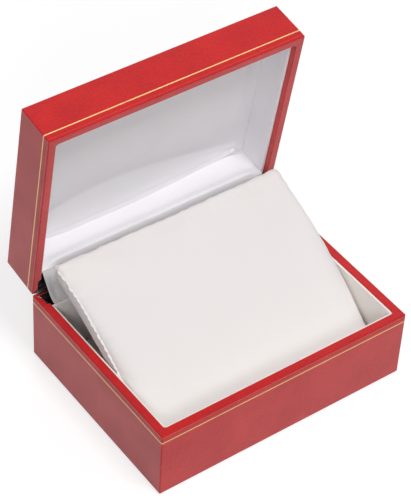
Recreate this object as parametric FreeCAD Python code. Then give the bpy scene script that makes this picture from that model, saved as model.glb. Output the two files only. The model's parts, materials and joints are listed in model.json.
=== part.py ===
"""Hinged leatherette presentation box with a lift-out display pillow, lid open. Millimetres, +Z up.

The origin is the middle of the base's underside: X runs left to right, Y from the front to the hinge.
The lid's pieces are modelled shut and swung open together about the hinge line at the end.
"""
import FreeCAD, Part
import math
import os

# Case
width = 100.0              # outside, left to right
depth = 76.3               # outside, front to back
base_height = 27.9         # underside to base rim
lid_height = 16.2          # lid rim to the top of the lid
rim_gap = 0.1              # between the two rims when the box is shut
open_angle = 81.4          # swing of the lid from shut to its open stop

# Moulded shells and their leatherette wrap
wrap = 0.4                 # leatherette thickness
wall = 2.2                 # moulded side walls
base_floor = 1.8           # moulded floor of the base
lid_roof = 1.2             # moulded top of the lid
corner_radius = 0.4        # upright corners of the case
edge_bevel = 0.3           # outer edges of the rims and of the closed faces
shell_inner_radius = 1.6   # inside corners of the mouldings
turn_in = 6.0              # wrap folded over the rim and glued inside
turn_under = 9.0           # wrap folded under the base
bottom_sheet = 0.4         # sheet that hides the turned-under wrap
bottom_sheet_inset = 1.5
foil_drop = 2.85           # rim to the near edge of the gold line
foil_width = 0.4
foil_depth = 0.12          # the line is pressed into the wrap by this much

# Base lining
base_card = 0.8            # suede-covered card
base_lining_drop = 0.4     # rim down to the top edge of the lining
pocket = 7.8               # back of the case to the front of the rear lining
floor_pad = 1.2
floor_pad_gap = 0.15

# Lid lining
lid_card = 1.0             # satin-covered card
lid_lining_drop = 2.0      # rim to the edge of the satin walls
lid_rear_drop = 1.4        # rim to the lower edge of the rear satin wall
lid_pocket = 8.7           # back of the case to the front of the rear satin wall
pad_board = 0.6
board_gap = 0.2            # around the board, inside the moulding
pad_foam = 1.4
satin = 0.3
foam_side_margin = 11.0    # case side to the foam
foam_front_margin = 10.0
foam_rear_margin = 16.0
foam_radius = 9.0          # plan corners of the foam
foam_edge = 1.0            # bevel round the foam's face

# Snap hinge, in black lacquered steel
leaf = 0.6                 # sheet thickness
leaf_gap = 0.05            # from each leaf to the rim plane
base_leaf_drop = 14.0      # height of the base leaf's upright plate
lid_leaf_rise = 11.0       # height of the lid leaf's upright plate
leaf_tab_height = 8.0      # height of the end cheeks
leaf_tab_reach = 3.2       # how far the end cheeks come forward of the plate
cheek_relief = 0.7         # depth of the side-wall reliefs that take the cheeks
leaf_end_margin = 0.7      # case side to the flared ends of the flanges
leaf_flare = 2.0           # rear edge of the case to where the flare starts
leaf_foot_margin = 3.5     # case side to the foot of the upright plates
leaf_foot_radius = 2.0
flange_rear_gap = 0.1      # back of the case to the rear edge of the flanges
knuckle_radius = 1.1
knuckle_room = 0.2         # around the knuckles in the walls and the other leaf
knuckle_end_margin = 2.0   # case side to the end of the row of knuckles
knuckle_count = 5
knuckle_gap = 0.3
pin_radius = 0.55
pin_play = 0.05            # in the lid leaf's knuckles
cam_flat = 3.15            # hinge line to each flat of a cam
cam_corner = 0.5           # rounding of the cam's corner
cam_back = 0.75            # hinge line to the back of a cam
cam_thickness = 1.6
cam_room = 0.5             # at each side of a cam in its slot
cam_slot_drop = 3.6
spring = 0.4
spring_width = 6.0
spring_corner = 1.0        # cropped corners
spring_foot = 12.6         # rim down to the spring's foot
spring_tip = 1.0           # rim up to the spring's tip
spring_rivet_drop = 9.8
rivet_radius = 0.7
rivet_head_radius = 1.25
rivet_head = 0.5
rivet_grip = 1.2           # how far a rivet goes into the moulding
base_rivet_drop = 7.2
lid_rivet_rise = 6.2
rivet_end_margin = 14.0    # case side to each leaf's rivet

# Satin apron over the hinge
apron = 0.3
apron_end_gap = 0.5        # to the satin wall of the open lid
apron_side_gap = 0.2       # to the side linings
apron_slack = 1.2          # how far the strip lies flat before it rises
apron_bend = 1.6           # radius where it turns up

# Pillow
pillow_gap = 0.3           # to the linings and the floor pad
pillow_rise = 17.0         # base rim to the pillow's rear upper edge
pillow_nose = 5.4          # height of the blunt front edge
pillow_nose_reach = 3.9    # how far the underside starts behind the front
pillow_back_rise = 0.6     # base rim to the lower rear edge
pillow_back_lean = 1.4     # lower rear edge forward of the upper one
pillow_crown = 7.0         # bow of the upper face over its chord
pillow_belly = 6.0         # bow of the underside
pillow_edge_bow = 0.7      # bow of the front and rear edges
end_zone = 9.0             # length over which each end thins to its seam
end_steps = (0.0, 0.75, 1.0)  # share of the end zone at each section of the ends
end_crown = 4.5            # bow of the seamed edge over its chord
end_face = 5.6             # depth of the end face under the seam
end_rear_drop = 0.9        # seam's rear end below the pillow's rear edge
end_nose_inset = 3.4       # seam's front end behind the pillow's front
end_nose_rise = 1.2
seam_radius = 0.5          # half the width and height of the stitched bead along each end
suede = 0.8                # suede and wadding over the foam core
core_end_margin = 4.6      # end of the pillow to the end of the core
core_top_margin = 0.9      # core to the satin of the shut lid
core_rear_margin = 1.2     # core to the rear satin wall of the shut lid

half_width = width / 2
half_depth = depth / 2
knuckle_zone = width - 2 * knuckle_end_margin
cam_place = knuckle_zone / knuckle_count    # each cam stands in the middle of a lid knuckle
hinge_y = half_depth
hinge_z = base_height
X_AXIS = FreeCAD.Vector(1, 0, 0)
Y_AXIS = FreeCAD.Vector(0, 1, 0)


def block(x_low, x_high, y_low, y_high, z_low, z_high):
    """Return a box between the given planes, in either order along Z."""
    low, high = min(z_low, z_high), max(z_low, z_high)
    corner = FreeCAD.Vector(x_low, y_low, low)
    return Part.makeBox(x_high - x_low, y_high - y_low, high - low, corner)


def fillet_edges(shape, radius, chosen):
    """Round the edges of a shape for which chosen(edge) is true."""
    return shape.makeFillet(radius, [edge for edge in shape.Edges if chosen(edge)])


def is_upright(edge):
    """Say whether a straight edge runs along Z."""
    span = edge.BoundBox
    return span.ZLength > 1e-3 and span.XLength < 1e-3 and span.YLength < 1e-3


def is_front_upright(edge):
    """Say whether an upright edge stands in the front half of the case."""
    return is_upright(edge) and edge.BoundBox.YMax < 0


def lies_at(edge, z):
    """Say whether an edge lies in a level plane."""
    return abs(edge.BoundBox.ZMin - z) < 1e-3 and abs(edge.BoundBox.ZMax - z) < 1e-3


def profile_along_x(points, x_low, x_high):
    """Extrude a closed outline of (y, z) points from one X to another."""
    outline = [FreeCAD.Vector(x_low, y, z) for y, z in points]
    return Part.Face(Part.makePolygon(outline + outline[:1])).extrude(X_AXIS * (x_high - x_low))


def rod_along_x(radius, x_low, x_high, y, z):
    """Return a rod parallel to X."""
    return Part.makeCylinder(radius, x_high - x_low, FreeCAD.Vector(x_low, y, z), X_AXIS)


def rod_along_y(radius, y_low, y_high, x, z):
    """Return a rod parallel to Y."""
    return Part.makeCylinder(radius, y_high - y_low, FreeCAD.Vector(x, y_low, z), Y_AXIS)


def fuse(shapes):
    """Join shapes into one and merge their flush faces."""
    return shapes[0].multiFuse(shapes[1:]).removeSplitter()


class Half:
    """One half of the case, measured by depth from its rim towards its closed face."""

    def __init__(self, rim, inward, height, closed_face):
        self.rim = rim
        self.inward = inward
        self.height = height
        self.closed_face = closed_face

    def at(self, drop):
        """Return the Z of a level that far in from the rim."""
        return self.rim + self.inward * drop

    def layer(self, inset, drop_from, drop_to, radius=0.0):
        """Return a block inset from the four sides, between two levels."""
        solid = block(-half_width + inset, half_width - inset, -half_depth + inset,
                      half_depth - inset, self.at(drop_from), self.at(drop_to))
        return fillet_edges(solid, radius, is_upright) if radius else solid

    def slab(self, x_low, x_high, y_low, y_high, drop_from, drop_to):
        """Return a box between the given planes and two levels."""
        return block(x_low, x_high, y_low, y_high, self.at(drop_from), self.at(drop_to))


base = Half(base_height, -1, base_height - bottom_sheet, base_floor)
lid = Half(base_height + rim_gap, 1, lid_height - rim_gap, lid_roof)
under_wrap_radius = max(0.0, corner_radius - wrap)
wall_inner = wrap + wall
mouth_inset = wall_inner + wrap
cheek_outer = half_width - wall_inner + cheek_relief
plate_front = hinge_y - wall_inner - leaf
cheek_front = plate_front - leaf_tab_reach


def floor_level(half):
    """Return how far in from the rim the moulding's inner closed face lies."""
    return half.height - wrap - half.closed_face


def flange_plan(rear, z_from, z_to):
    """Return the flanges' plan, flared at its rear corners, drawn back to a given Y."""
    end = half_width - leaf_end_margin
    flare_y = hinge_y - leaf_flare
    corner_y = flare_y + end - cheek_outer
    side = [(cheek_outer, plate_front), (cheek_outer, flare_y), (end, corner_y), (end, rear)]
    plan = side + [(-x, y) for x, y in reversed(side)]
    low, high = min(z_from, z_to), max(z_from, z_to)
    outline = [FreeCAD.Vector(x, y, low) for x, y in plan]
    return Part.Face(Part.makePolygon(outline + outline[:1])).extrude(FreeCAD.Vector(0, 0, high - low))


def hinge_seat(half, leaf_height):
    """Return what a hinge leaf takes out of the rear rim, walls and wrap of one half."""
    flange_room = flange_plan(hinge_y + wrap, half.at(-wrap), hinge_z + half.inward * (leaf + leaf_gap))
    cheek_room = half.slab(-cheek_outer, cheek_outer, cheek_front, hinge_y - wall_inner, -wrap, leaf_tab_height)
    plate_room = half.slab(-half_width + wall_inner, half_width - wall_inner, cheek_front, hinge_y - wall_inner,
                           -wrap, leaf_height)
    knuckle_length = knuckle_zone / 2 + knuckle_gap
    groove = rod_along_x(knuckle_radius + knuckle_room, -knuckle_length, knuckle_length, hinge_y, hinge_z)
    return [flange_room, cheek_room, plate_room, groove]


def cam_slots(rear):
    """Return the two slots in the base, open back to a given Y, that the lid's cams swing through."""
    half_slot = cam_thickness / 2 + cam_room
    return [base.slab(side * cam_place - half_slot, side * cam_place + half_slot, plate_front - spring,
                      rear, -wrap, cam_slot_drop) for side in (-1, 1)]


def rivet_line(spots):
    """Return rivet shanks at (x, z, what they hold in front of the leaf), each sunk into the rear wall."""
    return [rod_along_y(rivet_radius, plate_front - held, hinge_y - wall_inner + rivet_grip, x, z)
            for x, z, held in spots]


rivet_place = half_width - rivet_end_margin
base_rivets = [(side * rivet_place, base.at(base_rivet_drop), 0.0) for side in (-1, 1)]
spring_rivets = [(side * cam_place, base.at(spring_rivet_drop), spring) for side in (-1, 1)]
lid_rivets = [(side * rivet_place, lid.at(lid_rivet_rise), 0.0) for side in (-1, 1)]


def make_shell(half, cuts):
    """Return one moulded half: four walls and a closed face, with its hinge seat and rivet holes."""
    outer = half.layer(wrap, wrap, half.height - wrap, under_wrap_radius)
    cavity = half.layer(wall_inner, -wrap, floor_level(half), shell_inner_radius)
    cavity = cavity.fuse(half.slab(-half_width + wall_inner, half_width - wall_inner, cheek_front,
                                   hinge_y - wall_inner, -wrap, floor_level(half)))
    return outer.cut([cavity] + cuts)


def foil_band(half, drop, band_width, band_depth):
    """Return the ring pressed into the outside of the wrap at one level."""
    ring = half.layer(0.0, drop, drop + band_width, corner_radius)
    return ring.cut(half.layer(band_depth, drop - wrap, drop + band_width + wrap, corner_radius - band_depth))


def make_wrap(half, cuts, folded_under):
    """Return the leatherette of one half: outside faces, rim and the edge turned in."""
    outer = half.layer(0.0, 0.0, half.height, corner_radius)
    for z in (half.at(0.0), half.at(half.height)):
        outer = outer.makeChamfer(edge_bevel, [edge for edge in outer.Edges if lies_at(edge, z)])
    cuts = list(cuts)
    cuts.append(half.layer(wrap, turn_in, half.height - wrap, under_wrap_radius))
    cuts.append(half.layer(wrap, wrap, turn_in, under_wrap_radius).cut(
        half.layer(wall_inner, wrap, turn_in, shell_inner_radius)))
    cuts.append(half.layer(mouth_inset, -wrap, turn_in, shell_inner_radius - wrap))
    cuts.append(foil_band(half, foil_drop, foil_width, foil_depth))
    if folded_under:
        cuts.append(half.layer(turn_under, half.height - 2 * wrap, half.height + wrap))
    return outer.cut(cuts)


def make_gold_line(half):
    """Return the gold foil line that fills its groove round one half."""
    return foil_band(half, foil_drop, foil_width, foil_depth)


def make_bottom_sheet():
    """Return the sheet the box stands on."""
    sheet = base.layer(bottom_sheet_inset, base.height, base.height + bottom_sheet)
    return fillet_edges(sheet, corner_radius, is_upright)


def lining_collar(half, card, drop_from, drop_to, rear):
    """Return a three-sided card collar: front and both sides, open towards the hinge."""
    outer = half.slab(-half_width + mouth_inset, half_width - mouth_inset, -half_depth + mouth_inset, rear,
                      drop_from, drop_to)
    inner = half.slab(-half_width + mouth_inset + card, half_width - mouth_inset - card,
                      -half_depth + mouth_inset + card, rear + card, drop_from - wrap, drop_to + wrap)
    return fillet_edges(outer, shell_inner_radius - wrap, is_front_upright).cut(inner)


base_lining_half = half_width - mouth_inset - base_card
base_lining_front = -half_depth + mouth_inset + base_card
base_rear_face = hinge_y - pocket
lid_lining_half = half_width - mouth_inset - lid_card
lid_rear_face = hinge_y - lid_pocket
board_drop = floor_level(lid) - pad_board
satin_drop = board_drop - satin


def make_base_side_lining():
    """Return the suede card collar inside the base."""
    return lining_collar(base, base_card, base_lining_drop, floor_level(base), base_rear_face + base_card)


def make_base_rear_lining():
    """Return the upright card that stands forward of the hinge."""
    return base.slab(-base_lining_half, base_lining_half, base_rear_face, base_rear_face + base_card,
                     base_lining_drop, floor_level(base))


def make_base_floor_pad():
    """Return the suede card on the floor of the base."""
    return base.slab(-base_lining_half + floor_pad_gap, base_lining_half - floor_pad_gap,
                     base_lining_front + floor_pad_gap, base_rear_face - floor_pad_gap,
                     floor_level(base) - floor_pad, floor_level(base))


def make_lid_side_lining():
    """Return the satin card collar inside the lid."""
    return lining_collar(lid, lid_card, lid_lining_drop, satin_drop, lid_rear_face + lid_card)


def make_lid_rear_lining():
    """Return the satin wall of the lid that stands forward of the hinge."""
    return lid.slab(-lid_lining_half, lid_lining_half, lid_rear_face, lid_rear_face + lid_card,
                    lid_rear_drop, satin_drop)


def lid_panel(drop_from, drop_to):
    """Return a flat layer that covers the lid's ceiling."""
    inset = wall_inner + board_gap
    layer = lid.slab(-half_width + inset, half_width - inset, -half_depth + inset, lid_rear_face + lid_card,
                     drop_from, drop_to)
    return fillet_edges(layer, shell_inner_radius, is_front_upright)


def foam_form(cover):
    """Return the foam's form, grown on its face and sides by a cover."""
    form = lid.slab(-half_width + foam_side_margin - cover, half_width - foam_side_margin + cover,
                    -half_depth + foam_front_margin - cover, hinge_y - foam_rear_margin + cover,
                    board_drop - pad_foam - cover, board_drop)
    form = fillet_edges(form, foam_radius + cover, is_upright)
    face_z = lid.at(board_drop - pad_foam - cover)
    return form.makeChamfer(foam_edge, [edge for edge in form.Edges if lies_at(edge, face_z)])


def make_satin_pad():
    """Return the satin drawn over the foam and glued flat round it."""
    sheet = lid_panel(satin_drop, board_drop)
    return sheet.fuse(foam_form(satin)).cut(foam_form(0.0))


def knuckle_spans(first):
    """Return the X spans of every other knuckle, starting from the given one."""
    pitch = knuckle_zone / knuckle_count
    starts = [-knuckle_zone / 2 + pitch * index for index in range(first, knuckle_count, 2)]
    return [(start + knuckle_gap / 2, start + pitch - knuckle_gap / 2) for start in starts]


def make_leaf(half, leaf_height, own_spans, bore):
    """Return one hinge leaf: flange over the rim, upright plate, end cheeks and rolled knuckles."""
    z_near = hinge_z + half.inward * leaf_gap
    z_far = hinge_z + half.inward * (leaf_gap + leaf)
    foot = half_width - leaf_foot_margin
    foot_z, cheek_z = half.at(leaf_height), half.at(leaf_tab_height)
    flange = flange_plan(hinge_y - flange_rear_gap, z_near, z_far)
    plate = block(-foot, foot, plate_front, plate_front + leaf, z_near, foot_z)
    plate = fillet_edges(plate, leaf_foot_radius, lambda edge: lies_at(edge, foot_z)
                         and edge.BoundBox.XLength < 1e-3)
    shoulder = block(-cheek_outer, cheek_outer, plate_front, plate_front + leaf, z_near, cheek_z)
    cheeks = [block(x, x + leaf, cheek_front, plate_front + leaf, z_near, cheek_z)
              for x in (-cheek_outer, cheek_outer - leaf)]
    knuckle_length = knuckle_zone / 2 + knuckle_gap
    room = knuckle_radius + knuckle_room
    notch = block(-knuckle_length, knuckle_length, hinge_y - room, hinge_y, z_near, z_far)
    parts = [flange.cut(notch), plate, shoulder] + cheeks
    for low, high in own_spans:
        parts.append(rod_along_x(knuckle_radius, low, high, hinge_y, hinge_z))
        parts.append(block(low, high, hinge_y - room, hinge_y - pin_radius - leaf / 2, z_near, z_far))
    bores = [rod_along_x(bore, low, high, hinge_y, hinge_z) for low, high in own_spans]
    return fuse(parts).cut(bores)


def cam_outline():
    """Return the (y, z) corners of a cam: two flats that bear on the spring, shut and open."""
    swing = math.radians(open_angle)

    def lower_flat(back):
        """Return the Z of the flat that bears when the lid is open, that far forward of the hinge line."""
        return hinge_z - (cam_flat - back * math.cos(swing)) / math.sin(swing)

    top = hinge_z + leaf_gap + leaf
    return [(hinge_y - cam_flat, top), (hinge_y - cam_flat, lower_flat(cam_flat)),
            (hinge_y - cam_back, lower_flat(cam_back)), (hinge_y - cam_back, top)]


def make_cam(side):
    """Return one cam tab, bent down from the lid leaf."""
    outline = cam_outline()
    middle = side * cam_place
    tab = profile_along_x(outline, middle - cam_thickness / 2, middle + cam_thickness / 2)
    corner_y, corner_z = outline[1]
    return fillet_edges(tab, cam_corner, lambda edge: edge.BoundBox.XLength > cam_thickness / 2
                        and abs(edge.BoundBox.Center.y - corner_y) < 1e-3
                        and abs(edge.BoundBox.Center.z - corner_z) < 1e-3)


def make_base_leaf():
    """Return the base leaf, with its rivet holes and cam slots."""
    body = make_leaf(base, base_leaf_drop, knuckle_spans(0), pin_radius)
    return body.cut(cam_slots(hinge_y) + rivet_line(base_rivets) + rivet_line(spring_rivets))


def make_lid_leaf():
    """Return the lid leaf, with its cams and rivet holes."""
    body = make_leaf(lid, lid_leaf_rise, knuckle_spans(1), pin_radius + pin_play)
    return fuse([body, make_cam(-1), make_cam(1)]).cut(rivet_line(lid_rivets))


def make_hinge_pin():
    """Return the pin through all the knuckles, headed at both ends."""
    reach = knuckle_zone / 2
    pin = rod_along_x(pin_radius, -reach, reach, hinge_y, hinge_z)
    heads = [rod_along_x(knuckle_radius - pin_play, low, low + knuckle_gap / 2, hinge_y, hinge_z)
             for low in (-reach, reach - knuckle_gap / 2)]
    return fuse([pin] + heads)


def make_springs():
    """Return the two flat springs the cams snap against."""
    solids = []
    for x, z, _ in spring_rivets:
        strip = block(x - spring_width / 2, x + spring_width / 2, plate_front - spring, plate_front,
                      base.at(spring_foot), base.at(-spring_tip))
        strip = strip.makeChamfer(spring_corner, [edge for edge in strip.Edges if edge.BoundBox.YLength
                                                  > spring / 2 and edge.BoundBox.DiagonalLength < 2 * spring])
        solids.append(strip.cut(rod_along_y(rivet_radius, plate_front - spring, plate_front, x, z)))
    return Part.makeCompound(solids)


def make_rivets(spots):
    """Return headed rivets, one solid each."""
    solids = []
    for shank, (x, z, held) in zip(rivet_line(spots), spots):
        face = plate_front - held
        solids.append(fuse([shank, rod_along_y(rivet_head_radius, face - rivet_head, face, x, z)]))
    return Part.makeCompound(solids)


def swing_open(shape):
    """Return a shut-lid piece turned to where it stands with the lid open."""
    turned = shape.copy()
    turned.rotate(FreeCAD.Vector(0, hinge_y, hinge_z), X_AXIS, -open_angle)
    return turned


def opened_point(back, up):
    """Return where a point of the shut lid, back from the hinge line and up, goes with the lid open."""
    swing = math.radians(open_angle)
    y = hinge_y - back * math.cos(swing) + up * math.sin(swing)
    z = hinge_z + back * math.sin(swing) + up * math.cos(swing)
    return y, z


def make_apron():
    """Return the satin strip from the base's rear lining to the open lid, sagging behind the pillow."""
    half_span = base_lining_half - apron_side_gap
    card_top = base.at(base_lining_drop)
    foot_y = base_rear_face + base_card + apron_slack
    tip_y, tip_z = opened_point(lid_pocket - lid_card / 2, lid_rear_drop + rim_gap - apron_end_gap)
    away = math.hypot(tip_y - foot_y, tip_z - card_top)
    across_y, across_z = (tip_z - card_top) / away * apron, (tip_y - foot_y) / away * apron
    outline = [(base_rear_face, card_top), (foot_y, card_top), (tip_y, tip_z),
               (tip_y - across_y, tip_z + across_z), (foot_y - across_y, card_top + apron),
               (base_rear_face, card_top + apron)]
    strip = profile_along_x(outline, -half_span, half_span)
    return fillet_edges(strip, apron_bend, lambda edge: edge.BoundBox.XLength > half_span
                        and foot_y - apron < edge.BoundBox.YMax < foot_y + apron)


pillow_half = base_lining_half - pillow_gap
pillow_front = base_lining_front + pillow_gap
pillow_low = base.at(floor_level(base)) + floor_pad + pillow_gap
pillow_rear = base_rear_face + base_card - pillow_gap
end_face_x = pillow_half - 2 * seam_radius


def bowed(start, end, bow):
    """Return start, a middle point bowed to the left of the way to the end, and end."""
    run, rise = end[0] - start[0], end[1] - start[1]
    length = math.hypot(run, rise)
    middle = ((start[0] + end[0]) / 2 - rise / length * bow, (start[1] + end[1]) / 2 + run / length * bow)
    return start, middle, end


def full_section():
    """Return the arcs round the middle of the pillow: top, rear, underside and front."""
    nose = (pillow_front, pillow_low + pillow_nose)
    rear_top = (pillow_rear, base_height + pillow_rise)
    rear_low = (pillow_rear - pillow_back_lean, base_height + pillow_back_rise)
    front_low = (pillow_front + pillow_nose_reach, pillow_low)
    return [bowed(nose, rear_top, pillow_crown), bowed(rear_top, rear_low, pillow_edge_bow),
            bowed(rear_low, front_low, pillow_belly), bowed(front_low, nose, pillow_edge_bow)]


def end_section():
    """Return the arcs round the seamed ends, in the same order."""
    nose = (pillow_front + end_nose_inset, pillow_low + pillow_nose - end_nose_rise)
    rear_top = (pillow_rear, base_height + pillow_rise - end_rear_drop)
    rear_low = (pillow_rear - end_face / 4, rear_top[1] - end_face)
    front_low = (nose[0] + end_face / 2, pillow_low + end_nose_rise)
    return [bowed(nose, rear_top, end_crown), bowed(rear_top, rear_low, pillow_edge_bow / 2),
            bowed(rear_low, front_low, -end_crown / 2), bowed(front_low, nose, pillow_edge_bow / 2)]


def section_at(x, taper):
    """Return the pillow's outline at one X; the taper runs from 0 in the middle to 1 at the ends."""
    edges = []
    for full_arc, end_arc in zip(full_section(), end_section()):
        points = [FreeCAD.Vector(x, full[0] + (end[0] - full[0]) * taper, full[1] + (end[1] - full[1]) * taper)
                  for full, end in zip(full_arc, end_arc)]
        edges.append(Part.Arc(*points).toShape())
    return Part.Wire(edges)


def make_pillow_core():
    """Return the foam wedge, cut back where the shut lid would reach it."""
    reach = pillow_half - core_end_margin
    face = Part.Face(section_at(-reach, 0.0)).makeOffset2D(-suede)
    top = lid.at(board_drop - pad_foam - satin) - core_top_margin
    rear = lid_rear_face - core_rear_margin
    room = block(-width, width, -depth, rear, 0.0, top)
    return face.extrude(X_AXIS * (2 * reach)).common(room)


def make_pillow_sleeve(core):
    """Return the padded suede sleeve round the core, open at its ends."""
    reach = end_face_x - end_zone
    face = Part.Face(section_at(-reach, 0.0))
    return face.extrude(X_AXIS * (2 * reach)).cut(core)


def make_pillow_ends(core):
    """Return the two ends that close the sleeve, thinning to the seams."""
    solids = []
    for side in (-1, 1):
        sections = [section_at(side * (end_face_x - end_zone * (1 - step)), 1 - math.sqrt(1 - step * step))
                    for step in end_steps]
        solids.append(Part.makeLoft(sections, True, True).cut(core))
    return Part.makeCompound(solids)


def make_pillow_seams():
    """Return the stitched bead along the upper edge of each end."""
    nose, crown, rear_top = end_section()[0]
    solids = []
    for x in (-pillow_half, pillow_half - 2 * seam_radius):
        lines = []
        for lift in (-seam_radius, seam_radius):
            points = [FreeCAD.Vector(x, y, z + lift) for y, z in (nose, crown, rear_top)]
            lines.append(Part.Arc(*points).toShape())
        ends = [Part.makeLine(lines[0].valueAt(at), lines[1].valueAt(other)) for at, other in
                ((lines[0].FirstParameter, lines[1].FirstParameter),
                 (lines[0].LastParameter, lines[1].LastParameter))]
        outline = Part.Wire(Part.__sortEdges__(lines + ends))
        solids.append(Part.Face(outline).extrude(X_AXIS * (2 * seam_radius)))
    return Part.makeCompound(solids)


def base_nodes():
    """Return the base's pieces by name."""
    seat = hinge_seat(base, base_leaf_drop)
    holes = rivet_line(base_rivets) + rivet_line(spring_rivets)
    return {
        "base_shell": make_shell(base, seat + cam_slots(hinge_y - wrap) + holes),
        "base_wrap": make_wrap(base, seat, True),
        "base_gold_line": make_gold_line(base),
        "base_bottom_sheet": make_bottom_sheet(),
        "base_side_lining": make_base_side_lining(),
        "base_rear_lining": make_base_rear_lining(),
        "base_floor_pad": make_base_floor_pad(),
        "hinge_base_leaf": make_base_leaf(),
        "hinge_pin": make_hinge_pin(),
        "snap_springs": make_springs(),
        "snap_spring_rivets": make_rivets(spring_rivets),
        "base_leaf_rivets": make_rivets(base_rivets),
        "hinge_apron": make_apron(),
    }


def lid_nodes():
    """Return the lid's pieces by name, as they lie with the box shut."""
    seat = hinge_seat(lid, lid_leaf_rise)
    return {
        "lid_shell": make_shell(lid, seat + rivet_line(lid_rivets)),
        "lid_wrap": make_wrap(lid, seat, False),
        "lid_gold_line": make_gold_line(lid),
        "lid_side_lining": make_lid_side_lining(),
        "lid_rear_lining": make_lid_rear_lining(),
        "lid_pad_board": lid_panel(board_drop, floor_level(lid)),
        "lid_pad_foam": foam_form(0.0),
        "lid_satin_pad": make_satin_pad(),
        "hinge_lid_leaf": make_lid_leaf(),
        "lid_leaf_rivets": make_rivets(lid_rivets),
    }


def pillow_nodes():
    """Return the pillow's pieces by name."""
    core = make_pillow_core()
    return {
        "pillow_core": core,
        "pillow_sleeve": make_pillow_sleeve(core),
        "pillow_ends": make_pillow_ends(core),
        "pillow_seams": make_pillow_seams(),
    }


def main():
    """Build every piece and write one STEP file for each."""
    os.makedirs("parts", exist_ok=True)
    nodes = base_nodes()
    nodes.update((name, swing_open(shape)) for name, shape in lid_nodes().items())
    nodes.update(pillow_nodes())
    for name, shape in nodes.items():
        shape.exportStep("parts/" + name + ".step")
        print(name, len(shape.Solids), "solids", round(shape.Volume, 3), "valid" if shape.isValid() else "INVALID")


main()
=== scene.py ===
"""A hinged leatherette presentation box with its lid open and a suede display pillow in its base.

Sizes are written in millimetres and turned into metres where a mesh is made. The lid's pieces are
modelled shut, measured from the rim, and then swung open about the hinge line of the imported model.
"""

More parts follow.
